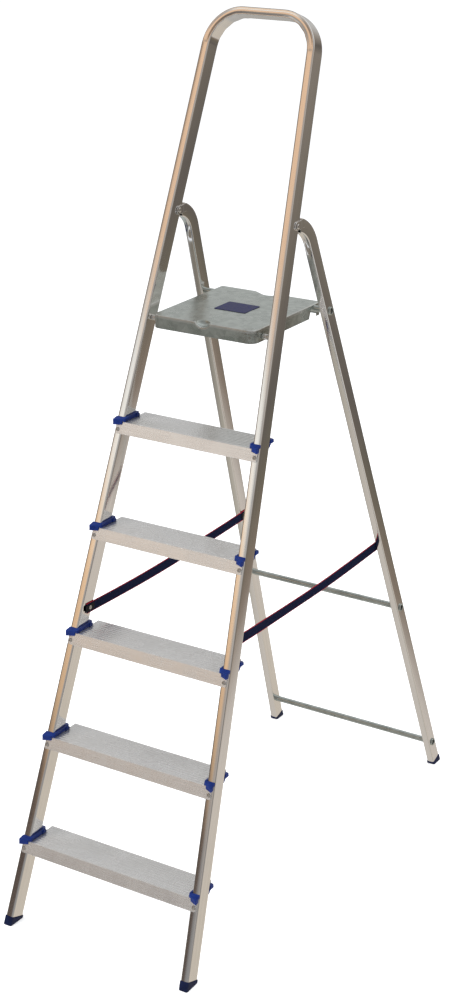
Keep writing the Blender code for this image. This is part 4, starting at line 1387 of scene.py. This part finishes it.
# ---- Rivets and pins ----
def rivet_profile(shank: float) -> Array:
    """(along, radius) of a rivet: a domed middle, a groove round it, a thin rim and the shank."""
    crown = dome(0.0034, 0.0013) + [0.0005, 0]
    rim = np.array([[0.00042, 0.0037], [0.0006, 0.0040], [0.0006, 0.0045], [0.0003, 0.0048], [0, 0.0048]])
    back = np.array([[0, 0.0022], [-shank, 0.0022], [-shank, 0]])
    return np.concatenate([crown, rim, back])


@dataclass
class Fasteners:
    """The turned pieces: tread rivets, pivot rivets and the platform's hinge pins."""

    plate: float = 0.0020
    gap: float = 0.0003
    ear_face: float = 0.0136
    pivot_head: float = 0.0060
    pivot_dome: float = 0.0026
    pivot_shank: float = 0.0036
    pin_radius: float = 0.004
    spacer: float = 0.0065
    pin_entry: float = 0.004

    def tread_rivet(self, tread: Tread, side: Side, finish: bpy.types.Material) -> None:
        """Builds a rivet through a fascia into its stile, square to the stile's front face."""
        height = tread.rivet_height
        ahead = np.array([0, -math.cos(SITE.tilt), math.sin(SITE.tilt)])
        x = side.value * (SITE.outer_x(height) - SITE.stile_width / 2)
        seat = np.array([x, SITE.front_y(height), height]) + ahead * (self.plate + 3 * self.gap)
        node = f"{tread.index + 1}_{side.label}"
        piece = Piece(f"fascia_rivet_{node}", Body.FRONT, "rivet_steel", (f"tread_rivet_{node}",))
        piece.build([turned_skin(rivet_profile(0.0060), seat, ahead, 36)], finish)

    def pivot_rivet(self, side: Side, finish: bpy.types.Material) -> None:
        """Builds a pivot rivet: a dome on both ears and the shank between."""
        head = dome(self.pivot_head, self.pivot_dome) + [self.ear_face, 0]
        half = np.concatenate([head, [[self.ear_face, self.pivot_shank]]])
        profile = np.concatenate([half, half[::-1] * [-1, 1]])
        seat = np.array([side.value * SITE.pivot_x, SITE.pivot[1], SITE.pivot[2]])
        piece = Piece(
            f"swan_neck_rivet_{side.label}", Body.FRONT, "rivet_steel", (f"pivot_rivet_{side.label}",)
        )
        piece.build([turned_skin(profile, seat, np.array([1.0, 0, 0]), 36)], finish)

    def pin(self, side: Side, platform: Platform, finish: bpy.types.Material) -> None:
        """Builds a hinge pin with its spacer between the platform and the stile."""
        behind = SITE.pin[1] - SITE.front_y(SITE.pin[2])
        wall = SITE.outer_x(SITE.pin[2], behind) - SITE.stile_width
        shoulder, face = wall - 0.0008, platform.width / 2 + 2 * self.gap
        soft = 0.0005
        profile = np.array([
            [wall + 0.0015 + self.pin_entry, 0], [wall + 0.0015 + self.pin_entry, self.pin_radius],
            [shoulder, self.pin_radius], [shoulder, self.spacer - soft], [shoulder - soft, self.spacer],
            [(shoulder + face) / 2 + 0.0012, self.spacer], [
                (shoulder + face) / 2 + 0.0006, self.spacer - soft
            ],
            [
                (shoulder + face) / 2 - 0.0006, self.spacer - soft
            ], [(shoulder + face) / 2 - 0.0012, self.spacer],
            [face + soft, self.spacer], [face, self.spacer - soft], [face, self.pin_radius],
            [platform.width / 2 - self.pin_entry + soft, self.pin_radius],
            [
                platform.width / 2 - self.pin_entry, self.pin_radius - soft
            ], [platform.width / 2 - self.pin_entry, 0],
        ])
        seat = np.array([0, SITE.pin[1], SITE.pin[2]])
        piece = Piece(f"hinge_pin_{side.label}", Body.FRONT, "rivet_steel", (f"platform_pin_{side.label}",))
        piece.build([turned_skin(profile, seat, np.array([float(side.value), 0, 0]), 36)], finish)


# ---- Finishes ----
class Wiring:
    """A material's node tree, with short ways to add to it."""

    def __init__(self, name: str) -> None:
        """Starts a material with a Principled shader."""
        self.material = bpy.data.materials.new(name)
        self.material.use_nodes = True
        self.nodes = self.material.node_tree.nodes
        self.links = self.material.node_tree.links
        self.shader = next(node for node in self.nodes if node.type == "BSDF_PRINCIPLED")

    def join(self, socket: bpy.types.NodeSocket, value: object) -> None:
        """Links a socket to another one, or sets its value."""
        if isinstance(value, bpy.types.NodeSocket):
            self.links.new(value, socket)
        else:
            socket.default_value = value

    def add(self, kind: str, inputs: dict, **settings: object) -> bpy.types.Node:
        """Adds a node, with its inputs by name or number and its settings."""
        node = self.nodes.new(kind)
        for name, value in settings.items():
            setattr(node, name, value)
        for key, value in inputs.items():
            self.join(node.inputs[key], value)
        return node

    def set(self, **inputs: object) -> None:
        """Sets the shader's inputs; underscores stand for spaces."""
        for name, value in inputs.items():
            self.join(self.shader.inputs[name.replace("_", " ")], value)

    def surface(self, scale: tuple[float, float, float]) -> bpy.types.NodeSocket:
        """The piece's own UV map in metres, scaled."""
        uv = self.add("ShaderNodeUVMap", {}, uv_map="uv")
        return self.add("ShaderNodeMapping", {"Vector": uv.outputs[0], "Scale": scale}).outputs[0]

    def place(self, scale: tuple[float, float, float]) -> bpy.types.NodeSocket:
        """The ladder's own coordinates in metres, scaled."""
        spot = self.add("ShaderNodeTexCoord", {})
        return self.add("ShaderNodeMapping", {"Vector": spot.outputs["Object"], "Scale": scale}).outputs[0]

    def noise(
        self, vector: bpy.types.NodeSocket, detail: float = 3, rough: float = 0.55
    ) -> bpy.types.NodeSocket:
        """Noise of one wave per unit of the scaled coordinates."""
        inputs = {"Vector": vector, "Scale": 1.0, "Detail": detail, "Roughness": rough}
        return self.add("ShaderNodeTexNoise", inputs).outputs[0]

    def reach(
        self, value: object, low: float, high: float, start: float = 0, end: float = 1
    ) -> bpy.types.NodeSocket:
        """Carries low to high onto start to end, held at both."""
        inputs = {"Value": value, "From Min": low, "From Max": high, "To Min": start, "To Max": end}
        return self.add("ShaderNodeMapRange", inputs).outputs[0]

    def calc(self, operation: str, *values: object) -> bpy.types.NodeSocket:
        """A sum of a Math node."""
        return self.add("ShaderNodeMath", dict(enumerate(values)), operation=operation).outputs[0]

    def tint(self, share: object, first: object, second: object) -> bpy.types.NodeSocket:
        """A colour between two."""
        colours = [(*item, 1.0) if isinstance(item, tuple) else item for item in (first, second)]
        inputs = {0: share, 6: colours[0], 7: colours[1]}
        return self.add("ShaderNodeMix", inputs, data_type="RGBA").outputs[2]

    def wear(self) -> bpy.types.NodeSocket:
        """The weight along a piece's edges, which pales them, partly as rubbing and partly as a painted
        highlight; below nought it marks painted shade.
        """
        return self.add("ShaderNodeAttribute", {}, attribute_name="edge").outputs["Fac"]

    def painted_hollow_shade(self) -> bpy.types.NodeSocket:
        """The painted shade weight in a piece's hollows: the bores of tubes and the grooves between a tread's
        ribs.
        """
        return self.reach(self.wear(), 0, -1, 0, 1)

    def relief(
        self, height: bpy.types.NodeSocket, metres: float, strength: float = 1.0, under: object = None
    ) -> bpy.types.NodeSocket:
        """A bumped normal of a height from 0 to 1 times a distance, over another one."""
        inputs = {"Height": height, "Distance": metres, "Strength": strength}
        node = self.add("ShaderNodeBump", inputs)
        if under is not None:
            self.join(node.inputs["Normal"], under)
        return node.outputs[0]


@dataclass(frozen=True)
class DrawnAluminium:
    """Bare aluminium with the marks of drawing along it, fine scratches, paler edges that are partly rubbed
    and partly a painted highlight, and painted shade between the tread's ribs.
    """

    name: str
    dull: Colour
    bright: Colour
    rough: tuple[float, float]
    metallic: float = 1.0
    fine: float = 2600
    broad: float = 420
    depth: float = 0.000012
    knurl: float = 0.0
    along_first: bool = False

    def scale(self, across: float, along: float) -> tuple[float, float, float]:
        """Scales for the streaks, which run along the second coordinate or the first."""
        return (along, across, 1) if self.along_first else (across, along, 1)

    def make(self) -> bpy.types.Material:
        """Builds the material."""
        wiring = Wiring(self.name)
        fine = wiring.noise(wiring.surface(self.scale(self.fine, 9)), 3)
        broad = wiring.noise(wiring.surface(self.scale(self.broad, 2.5)), 2)
        cloud = wiring.noise(wiring.place((14, 14, 9)), 4, 0.6)
        scratch = wiring.noise(wiring.surface(self.scale(900, 26)), 5, 0.7)
        marks = wiring.reach(scratch, 0.62, 0.70)
        mixed = wiring.calc("ADD", wiring.calc("MULTIPLY", broad, 0.6), wiring.calc("MULTIPLY", cloud, 0.4))
        body = wiring.tint(wiring.reach(mixed, 0.35, 0.65), self.dull, self.bright)
        # Paler edges: partly rubbed metal, partly a painted highlight along them.
        rubbed = wiring.calc("MULTIPLY", wiring.wear(), 0.45)
        colour = wiring.tint(rubbed, body, (0.95, 0.94, 0.93))
        surface_colour = wiring.tint(wiring.calc("MULTIPLY", marks, 0.35), colour, (0.52, 0.50, 0.48))
        patches = wiring.calc("ADD", wiring.calc("MULTIPLY", fine, 0.5), wiring.calc("MULTIPLY", cloud, 0.5))
        rough = wiring.reach(patches, 0.35, 0.65, *self.rough)
        # Painted shade: the hollows between the tread's ribs are darkened towards near black.
        surface_colour = wiring.tint(wiring.painted_hollow_shade(), surface_colour, (0.10, 0.095, 0.09))
        if self.knurl:
            parts = wiring.add("ShaderNodeSeparateXYZ", {0: wiring.surface((1, 1, 1))})
            wave = wiring.calc("SINE", wiring.calc("MULTIPLY", parts.outputs[1], 2 * math.pi / self.knurl))
            on_plate = wiring.reach(parts.outputs[0], 0.8, 0.7, 0, 0.16)
            line = wiring.calc("MULTIPLY", wiring.reach(wave, 0.55, 0.95), on_plate)
            surface_colour = wiring.tint(line, surface_colour, (0.30, 0.30, 0.31))
        grain = wiring.calc("ADD", wiring.calc("MULTIPLY", fine, 0.6), wiring.calc("MULTIPLY", marks, -0.4))
        wiring.set(Base_Color=surface_colour, Metallic=self.metallic, Roughness=rough,
                   Normal=wiring.relief(grain, self.depth))
        return wiring.material


@dataclass(frozen=True)
class GalvanisedSteel:
    """Zinc-coated sheet: dull grey-green with a soft spangle, stains, paler edges that are partly rubbed and
    partly a painted highlight, and painted shade in the bars' bores.
    """

    name: str = "galvanised_steel_finish"
    dark: Colour = (0.44, 0.485, 0.465)
    light: Colour = (0.64, 0.69, 0.665)
    stain: Colour = (0.20, 0.13, 0.085)
    stain_place: tuple[float, float, float] = (0.118, -0.150, 1.338)

    def make(self) -> bpy.types.Material:
        """Builds the material."""
        wiring = Wiring(self.name)
        cells = wiring.add("ShaderNodeTexVoronoi", {"Vector": wiring.place((90, 90, 90)), "Scale": 1.0})
        cloud = wiring.noise(wiring.place((30, 22, 30)), 5, 0.6)
        tone = wiring.add("ShaderNodeSeparateColor", {0: cells.outputs["Color"]}).outputs[0]
        mixed = wiring.calc("ADD", wiring.calc("MULTIPLY", tone, 0.25), wiring.calc("MULTIPLY", cloud, 0.75))
        body = wiring.tint(wiring.reach(mixed, 0.30, 0.70), self.dark, self.light)
        spot = wiring.add("ShaderNodeTexCoord", {}).outputs["Object"]
        away = wiring.add(
            "ShaderNodeVectorMath", {0: spot, 1: self.stain_place}, operation="DISTANCE"
        ).outputs["Value"]
        near = wiring.reach(away, 0.034, 0.010)
        speck = wiring.reach(wiring.noise(wiring.place((420, 420, 300)), 4, 0.7), 0.48, 0.62)
        stained = wiring.tint(
            wiring.calc("MULTIPLY", wiring.calc("MULTIPLY", near, speck), 0.75), body, self.stain
        )
        # Paler edges, the tray's rolled rim most: partly rubbed zinc, partly a painted highlight.
        colour = wiring.tint(wiring.calc("MULTIPLY", wiring.wear(), 0.55), stained, (0.84, 0.85, 0.84))
        # Painted shade: the bars' bores are darkened to near black.
        colour = wiring.tint(wiring.painted_hollow_shade(), colour, (0.012, 0.012, 0.011))
        rough = wiring.reach(cloud, 0.3, 0.7, 0.22, 0.40)
        fine = wiring.noise(wiring.place((700, 700, 700)), 3)
        height = wiring.calc("ADD", wiring.calc("MULTIPLY", fine, 0.4), wiring.calc("MULTIPLY", cloud, 1.5))
        wiring.set(Base_Color=colour, Metallic=1.0, Roughness=rough, Normal=wiring.relief(height, 0.00010))
        return wiring.material


@dataclass(frozen=True)
class TurnedSteel:
    """Plated steel of the rivets and pins, with fine rings and a mottled tone."""

    name: str = "rivet_steel_finish"

    def make(self) -> bpy.types.Material:
        """Builds the material."""
        wiring = Wiring(self.name)
        rings = wiring.noise(wiring.surface((60, 5200, 1)), 2)
        cloud = wiring.noise(wiring.place((380, 380, 380)), 4)
        colour = wiring.tint(wiring.reach(cloud, 0.35, 0.65), (0.55, 0.53, 0.50), (0.84, 0.83, 0.81))
        rough = wiring.reach(rings, 0.3, 0.7, 0.18, 0.34)
        wiring.set(Base_Color=colour, Metallic=1.0, Roughness=rough, Normal=wiring.relief(rings, 0.00004))
        return wiring.material


@dataclass(frozen=True)
class MouldedPlastic:
    """Moulded plastic with a fine spark-eroded grain, scuff marks, and paler edges that are partly rubbed and
    partly a painted highlight.
    """

    name: str
    deep: Colour
    light: Colour
    scuff_and_edge_highlight: Colour
    rough: tuple[float, float]
    scuffs: float = 0.25
    shine: float = 0.22

    def make(self) -> bpy.types.Material:
        """Builds the material."""
        wiring = Wiring(self.name)
        cloud = wiring.noise(wiring.place((45, 45, 60)), 4)
        grain = wiring.noise(wiring.place((2600, 2600, 2600)), 2)
        body = wiring.tint(wiring.reach(cloud, 0.3, 0.7), self.deep, self.light)
        scuff = wiring.reach(wiring.noise(wiring.place((700, 160, 700)), 5, 0.75), 0.60, 0.70)
        # Scuff marks and edges turn paler: the marks are real, the edges partly rubbed and partly a painted
        # highlight.
        scuff_and_edge_highlight = wiring.calc("MULTIPLY", wiring.calc("MAXIMUM", wiring.wear(), scuff), self.scuffs)
        rough = wiring.reach(cloud, 0.3, 0.7, *self.rough)
        colour = wiring.tint(scuff_and_edge_highlight, body, self.scuff_and_edge_highlight)
        wiring.set(Base_Color=colour, Roughness=rough, Normal=wiring.relief(grain, 0.00004, 0.8),
                   Specular_IOR_Level=self.shine)
        return wiring.material


@dataclass(frozen=True)
class PrintedFilm:
    """Plain navy film with faint rolling marks and lighter rubbed spots."""

    name: str = "label_film_finish"

    def make(self) -> bpy.types.Material:
        """Builds the material."""
        wiring = Wiring(self.name)
        rub = wiring.noise(wiring.place((160, 60, 60)), 5, 0.7)
        colour = wiring.tint(wiring.reach(rub, 0.42, 0.75), (0.004, 0.006, 0.048), (0.012, 0.016, 0.090))
        rough = wiring.reach(rub, 0.3, 0.7, 0.30, 0.46)
        wiring.set(Base_Color=colour, Roughness=rough, Specular_IOR_Level=0.2,
                   Normal=wiring.relief(rub, 0.00006))
        return wiring.material


@dataclass(frozen=True)
class Webbing:
    """Woven band: crossing yarns from two sines, fuzz, and a coloured yarn near each edge."""

    name: str = "navy_webbing_finish"
    body: Colour = (0.0022, 0.0042, 0.020)
    lit: Colour = (0.007, 0.012, 0.048)
    marker: Colour = (0.42, 0.015, 0.025)
    marker_at: float = 0.0117
    pick: float = 0.0011

    def make(self) -> bpy.types.Material:
        """Builds the material."""
        wiring = Wiring(self.name)
        uv = wiring.add("ShaderNodeUVMap", {}, uv_map="uv").outputs[0]
        parts = wiring.add("ShaderNodeSeparateXYZ", {0: uv})
        turn = 2 * math.pi / self.pick
        warp = wiring.calc("SINE", wiring.calc("MULTIPLY", parts.outputs[0], turn))
        slant = wiring.calc("ADD", parts.outputs[1], wiring.calc("MULTIPLY", parts.outputs[0], 0.5))
        weft = wiring.calc("SINE", wiring.calc("MULTIPLY", slant, turn))
        weave = wiring.reach(wiring.calc("MULTIPLY", warp, weft), -1, 1)
        fuzz = wiring.noise(wiring.surface((3000, 3000, 1)), 3)
        height = wiring.calc("ADD", weave, wiring.calc("MULTIPLY", fuzz, 0.5))
        shade = wiring.tint(wiring.reach(height, 0.2, 1.3), self.body, self.lit)
        from_line = wiring.calc(
            "ABSOLUTE", wiring.calc("SUBTRACT", wiring.calc("ABSOLUTE", parts.outputs[0]), self.marker_at)
        )
        line = wiring.reach(from_line, 0.0010, 0.0006)
        colour = wiring.tint(line, shade, self.marker)
        wiring.set(Base_Color=colour, Roughness=0.85, Specular_IOR_Level=0.10,
                   Normal=wiring.relief(height, 0.00022))
        return wiring.material


# ---- Studio ----
# What metal mirrors: degrees over the horizon and the colour there, from the floor up.
DARK_WALL = (0.10, 0.077, 0.067)
PEACH_WALL = (0.78, 0.52, 0.32)
WARM_FLOOR = (0.58, 0.54, 0.49)
AHEAD_STOPS = (
    (-90, WARM_FLOOR), (-54, WARM_FLOOR), (-50, (0.45, 0.42, 0.36)), (-47, (0.32, 0.30, 0.26)),
    (
        -44, (0.18, 0.16, 0.13)
    ), (-41, (0.30, 0.29, 0.27)), (-37, (0.85, 0.88, 0.92)), (-33, (0.80, 0.83, 0.87)),
    (-29, (0.20, 0.17, 0.14)), (-21, (0.24, 0.22, 0.19)), (-16, (0.38, 0.38, 0.36)), (-6, (0.16, 0.14, 0.12)),
    (-1, DARK_WALL), (3.6, DARK_WALL), (5.4, (0.64, 0.44, 0.27)), (8, PEACH_WALL), (10.6, (0.92, 0.64, 0.40)),
    (
        12.6, (0.95, 0.90, 0.82)
    ), (15.8, (0.92, 0.93, 0.90)), (17.3, (0.70, 0.62, 0.54)), (19, (0.80, 0.55, 0.37)),
    (27, (0.88, 0.60, 0.40)), (34, (0.30, 0.26, 0.22)), (45, (0.70, 0.70, 0.70)), (60, (0.45, 0.44, 0.42)),
    (90, (0.85, 0.86, 0.88)),
)
BEHIND_RIGHT_STOPS = (
    (-90, (0.58, 0.54, 0.48)), (-30, (0.60, 0.54, 0.46)), (
        -24.5, (0.60, 0.55, 0.50)
    ), (-21, (0.24, 0.19, 0.15)),
    (-18, (0.16, 0.14, 0.107)), (-15, (0.125, 0.11, 0.098)), (-10, (0.19, 0.165, 0.135)),
    (-5, (0.24, 0.21, 0.18)), (4, (0.12, 0.105, 0.09)), (14, (0.40, 0.35, 0.30)), (30, (0.75, 0.74, 0.72)),
    (90, (0.90, 0.90, 0.92)),
)
BEHIND_LEFT_STOPS = (
    (-90, (0.55, 0.54, 0.52)), (-10, (0.40, 0.38, 0.35)), (6, (0.50, 0.49, 0.47)), (16, (0.62, 0.62, 0.61)),
    (20, (0.62, 0.62, 0.63)), (25, (0.56, 0.55, 0.53)), (31, (0.47, 0.455, 0.43)), (45, (0.60, 0.60, 0.60)),
    (90, (0.85, 0.86, 0.89)),
)


@dataclass(frozen=True)
class Studio:
    """Pale floor, soft studio light and the camera."""

    azimuth: float = math.radians(31.73)
    elevation: float = math.radians(19.02)
    place: tuple[float, float, float] = (2.249, -3.588, 2.531)
    lens: float = 70.38
    shift: tuple[float, float] = (-0.0191, -0.075)
    floor_half: float = 60.0
    floor_grey: float = 0.92
    floor_glow: float = 0.50
    fill: Colour = (0.60, 0.61, 0.63)
    right_band: tuple[float, float, float] = (29.5, 24, 0.8)
    right_grey: Colour = (0.33, 0.33, 0.33)
    left_band: tuple[float, float, float] = (37, 42, 0.8)
    left_dark: Colour = (0.12, 0.10, 0.085)
    band_rise: tuple[float, float] = (-0.34, -0.17)
    side_turn: float = 0.25
    front_turn: float = 0.15

    def camera(self) -> None:
        """Stands the camera level, looking down at the ladder from its right front."""
        data = bpy.data.cameras.new("camera")
        data.sensor_width = 36
        data.lens = self.lens
        data.shift_x, data.shift_y = self.shift
        data.clip_end = 500
        made = bpy.data.objects.new("camera", data)
        bpy.context.scene.collection.objects.link(made)
        flat = math.cos(self.elevation)
        ahead = Vector(
            (-math.sin(self.azimuth) * flat, math.cos(self.azimuth) * flat, -math.sin(self.elevation))
        )
        made.location = self.place
        made.rotation_euler = ahead.to_track_quat("-Z", "Y").to_euler()
        bpy.context.scene.camera = made

    def floor(self) -> None:
        """Lays a plain pale floor."""
        half = self.floor_half
        mesh = bpy.data.meshes.new("floor")
        mesh.from_pydata(
            [(-half, -half, 0), (half, -half, 0), (half, half, 0), (-half, half, 0)], [], [(0, 1, 2, 3)]
        )
        made = bpy.data.objects.new("floor", mesh)
        bpy.context.scene.collection.objects.link(made)
        wiring = Wiring("floor_finish")
        grey = self.floor_grey
        wiring.set(Base_Color=(grey, grey, grey, 1), Roughness=0.9, Specular_IOR_Level=0.0,
                   Emission_Color=(1, 1, 1, 1), Emission_Strength=self.floor_glow)
        mesh.materials.append(wiring.material)
        made.visible_glossy = False

    def light(self, name: str, place: Vector, aim: Vector, size: float, watts: float, colour: Colour) -> None:
        """Hangs a square soft light that metal doesn't mirror."""
        data = bpy.data.lights.new(name, "AREA")
        data.size, data.energy, data.color = size, watts, colour
        made = bpy.data.objects.new(name, data)
        bpy.context.scene.collection.objects.link(made)
        made.location = place
        made.rotation_euler = (aim - place).to_track_quat("-Z", "Y").to_euler()
        made.visible_glossy = False

    def sky(self) -> None:
        """Lights the room: what metal mirrors depends on the height over the horizon and the side.

        The share across a ramp is (angle over the horizon + 90) / 180 degrees.
        """
        world = bpy.data.worlds.new("studio")
        bpy.context.scene.world = world
        world.use_nodes = True
        nodes, links = world.node_tree.nodes, world.node_tree.links
        nodes.clear()

        def add(kind: str, inputs: dict, **settings: object) -> bpy.types.Node:
            """Adds a node and joins or sets its inputs."""
            node = nodes.new(kind)
            for name, value in settings.items():
                setattr(node, name, value)
            for key, value in inputs.items():
                if isinstance(value, bpy.types.NodeSocket):
                    links.new(value, node.inputs[key])
                else:
                    node.inputs[key].default_value = value
            return node

        def ramp(
            share: bpy.types.NodeSocket, stops: tuple[tuple[float, Colour], ...]
        ) -> bpy.types.NodeSocket:
            """Colours from the stops, blended straight between them."""
            node = add("ShaderNodeValToRGB", {0: share})
            band = node.color_ramp
            band.elements[0].color = (*stops[0][1], 1)
            band.elements[1].color = (*stops[-1][1], 1)
            for angle, colour in stops[1:-1]:
                band.elements.new((angle + 90) / 180).color = (*colour, 1)
            return node.outputs[0]

        spot = add("ShaderNodeTexCoord", {}).outputs["Generated"]
        parts = add("ShaderNodeSeparateXYZ", {0: spot}).outputs
        angle = add("ShaderNodeMath", {0: parts[2]}, operation="ARCSINE").outputs[0]
        share = add("ShaderNodeMath", {0: angle, 1: 1 / math.pi, 2: 0.5}, operation="MULTIPLY_ADD").outputs[0]
        flipped = [
            add(
                "ShaderNodeMath", {0: parts[axis], 1: -1.0}, operation="MULTIPLY"
            ).outputs[0] for axis in (0, 1)
        ]
        round_left = add("ShaderNodeMath", dict(enumerate(flipped)), operation="ARCTAN2").outputs[0]
        raised = add(
            "ShaderNodeMapRange", {0: parts[2], 1: self.band_rise[0], 2: self.band_rise[1]}
        ).outputs[0]

        def banded(
            under: bpy.types.NodeSocket, band: tuple[float, float, float], colour: Colour
        ) -> bpy.types.NodeSocket:
            """Tints past a turn from straight ahead: degrees where it starts and is full, and strength."""
            start, end, strength = band
            turned = add("ShaderNodeMapRange", {0: round_left, 1: math.radians(start), 2: math.radians(end)},
                         interpolation_type="SMOOTHSTEP").outputs[0]
            over = add("ShaderNodeMath", {0: turned, 1: raised}, operation="MULTIPLY").outputs[0]
            amount = add("ShaderNodeMath", {0: over, 1: strength}, operation="MULTIPLY").outputs[0]
            return add("ShaderNodeMix", {0: amount, 6: under, 7: (*colour, 1)}, data_type="RGBA").outputs[2]

        ahead = banded(ramp(share, AHEAD_STOPS), self.right_band, self.right_grey)
        ahead = banded(ahead, self.left_band, self.left_dark)
        behind_right = ramp(share, BEHIND_RIGHT_STOPS)
        behind_left = ramp(share, BEHIND_LEFT_STOPS)
        right = add(
            "ShaderNodeMapRange", {
                0: parts[0], 1: -self.side_turn, 2: self.side_turn
            }, interpolation_type="SMOOTHSTEP"
        ).outputs[0]
        front = add(
            "ShaderNodeMapRange", {
                0: parts[1], 1: self.front_turn, 2: -self.front_turn
            }, interpolation_type="SMOOTHSTEP"
        ).outputs[0]
        behind = add(
            "ShaderNodeMix", {0: right, 6: behind_left, 7: behind_right}, data_type="RGBA"
        ).outputs[2]
        mirrored = add("ShaderNodeMix", {0: front, 6: behind, 7: ahead}, data_type="RGBA").outputs[2]
        rays = add("ShaderNodeLightPath", {}).outputs
        soft = add(
            "ShaderNodeMix", {0: rays["Is Camera Ray"], 6: (*self.fill, 1), 7: (1, 1, 1, 1)},
            data_type="RGBA"
        )
        seen = add(
            "ShaderNodeMix", {0: rays["Is Glossy Ray"], 6: soft.outputs[2], 7: mirrored}, data_type="RGBA"
        )
        shell = add("ShaderNodeBackground", {0: seen.outputs[2], 1: 1.0})
        add("ShaderNodeOutputWorld", {0: shell.outputs[0]})

    def build(self) -> None:
        """Sets up the room, its lights and the camera."""
        scene = bpy.context.scene
        scene.view_settings.view_transform = "Standard"
        self.floor()
        self.sky()
        aim = Vector((0, 0, 0.9))
        self.light("key", Vector((-3.2, -4.2, 4.6)), aim, 2.4, 230, (1.0, 0.97, 0.93))
        self.light("top", Vector((0.5, 1.5, 6.0)), aim, 4.0, 150, (0.95, 0.97, 1.0))
        self.camera()
        LOG.info("studio: floor, two lights and the camera")


TREAD_COUNT = 5
LOWER_BAR_HEIGHT = 0.070
UPPER_BAR_HEIGHT = 0.510


def build_feet(finish: bpy.types.Material) -> None:
    """Builds the four feet, each square to its tube."""
    hoop = FrontFrame()
    axes = hoop_axes()
    for side in Side:
        sign = side.value
        end = (0.007 + SITE.stile_depth * math.sin(SITE.tilt)) / math.cos(SITE.tilt)
        line = hoop.side_line(end) * [sign, 1]
        along = unit(np.array([-sign * SITE.lean * math.cos(SITE.tilt), 1.0]))
        up = along @ np.stack([axes.first, axes.second])
        place = Axes(axes.place(np.array([*line, 0])), np.cross(up, axes.third), axes.third, up)
        Foot(f"front_boot_{side.label}", f"front_foot_{side.label}", Body.FRONT, place,
             SITE.stile_width, SITE.stile_depth).build(finish)
        leg = RearLeg(side)
        own = leg_axes(side)
        down, back = leg.directions()
        start = leg.at(np.array(0.0), np.array(0.0))
        up = -(down[0] * own.first + down[1] * own.second)
        rearward = back[0] * own.first + back[1] * own.second
        place = Axes(own.place(np.array([*start, 0])), own.third, rearward, up)
        Foot(f"rear_boot_{side.label}", f"rear_foot_{side.label}", Body.REAR, place,
             SITE.leg_width, SITE.leg_depth).build(finish)


def main() -> None:
    """Builds the ladder's pieces in order, then the studio."""
    logging.basicConfig(level=logging.INFO, format="%(message)s")
    mill = DrawnAluminium(
        "mill_aluminium_finish", (0.83, 0.82, 0.81), (0.93, 0.92, 0.91), (0.06, 0.13)
    ).make()
    ribbed = DrawnAluminium("ribbed_aluminium_finish", (0.76, 0.76, 0.76), (0.87, 0.87, 0.87), (0.20, 0.32),
                            metallic=0.80, fine=3200, broad=900, knurl=0.0062).make()
    galvanised = GalvanisedSteel().make()
    steel = TurnedSteel().make()
    blue = MouldedPlastic(
        "blue_plastic_finish", (0.002, 0.015, 0.125), (0.005, 0.026, 0.185), (0.03, 0.09, 0.30), (0.26, 0.38),
    ).make()
    navy = MouldedPlastic(
        "foot_plastic_finish", (0.002, 0.006, 0.034), (0.004, 0.011, 0.055), (0.03, 0.04, 0.09), (0.42, 0.60),
    ).make()
    black = MouldedPlastic(
        "black_tab_finish", (0.004, 0.005, 0.008), (0.009, 0.010, 0.014), (0.04, 0.04, 0.05), (0.5, 0.65),
    ).make()
    FrontFrame().build(mill)
    for side in Side:
        RearLeg(side).build(mill)
    platform = Platform()
    bars = (
        ("lower_bar", "crossbar_lower", LOWER_BAR_HEIGHT),
        ("upper_bar", "crossbar_upper", UPPER_BAR_HEIGHT),
        ("rest_rod", "platform_rod", platform.rod_height),
    )
    for name, node, height in bars:
        CrossBar(name, node, height).build(galvanised)
    platform.build(galvanised, PrintedFilm().make())
    fasteners = Fasteners()
    for index in range(TREAD_COUNT):
        tread = Tread(index)
        tread.build(ribbed)
        for side in Side:
            EndCap(tread, side).build(blue)
            fasteners.tread_rivet(tread, side, steel)
    build_feet(navy)
    webbing = Webbing().make()
    for side in Side:
        Strap(side).build(webbing, black, steel)
        fasteners.pivot_rivet(side, steel)
        fasteners.pin(side, platform, steel)
    Studio().build()


if __name__ == "__main__":
    main()
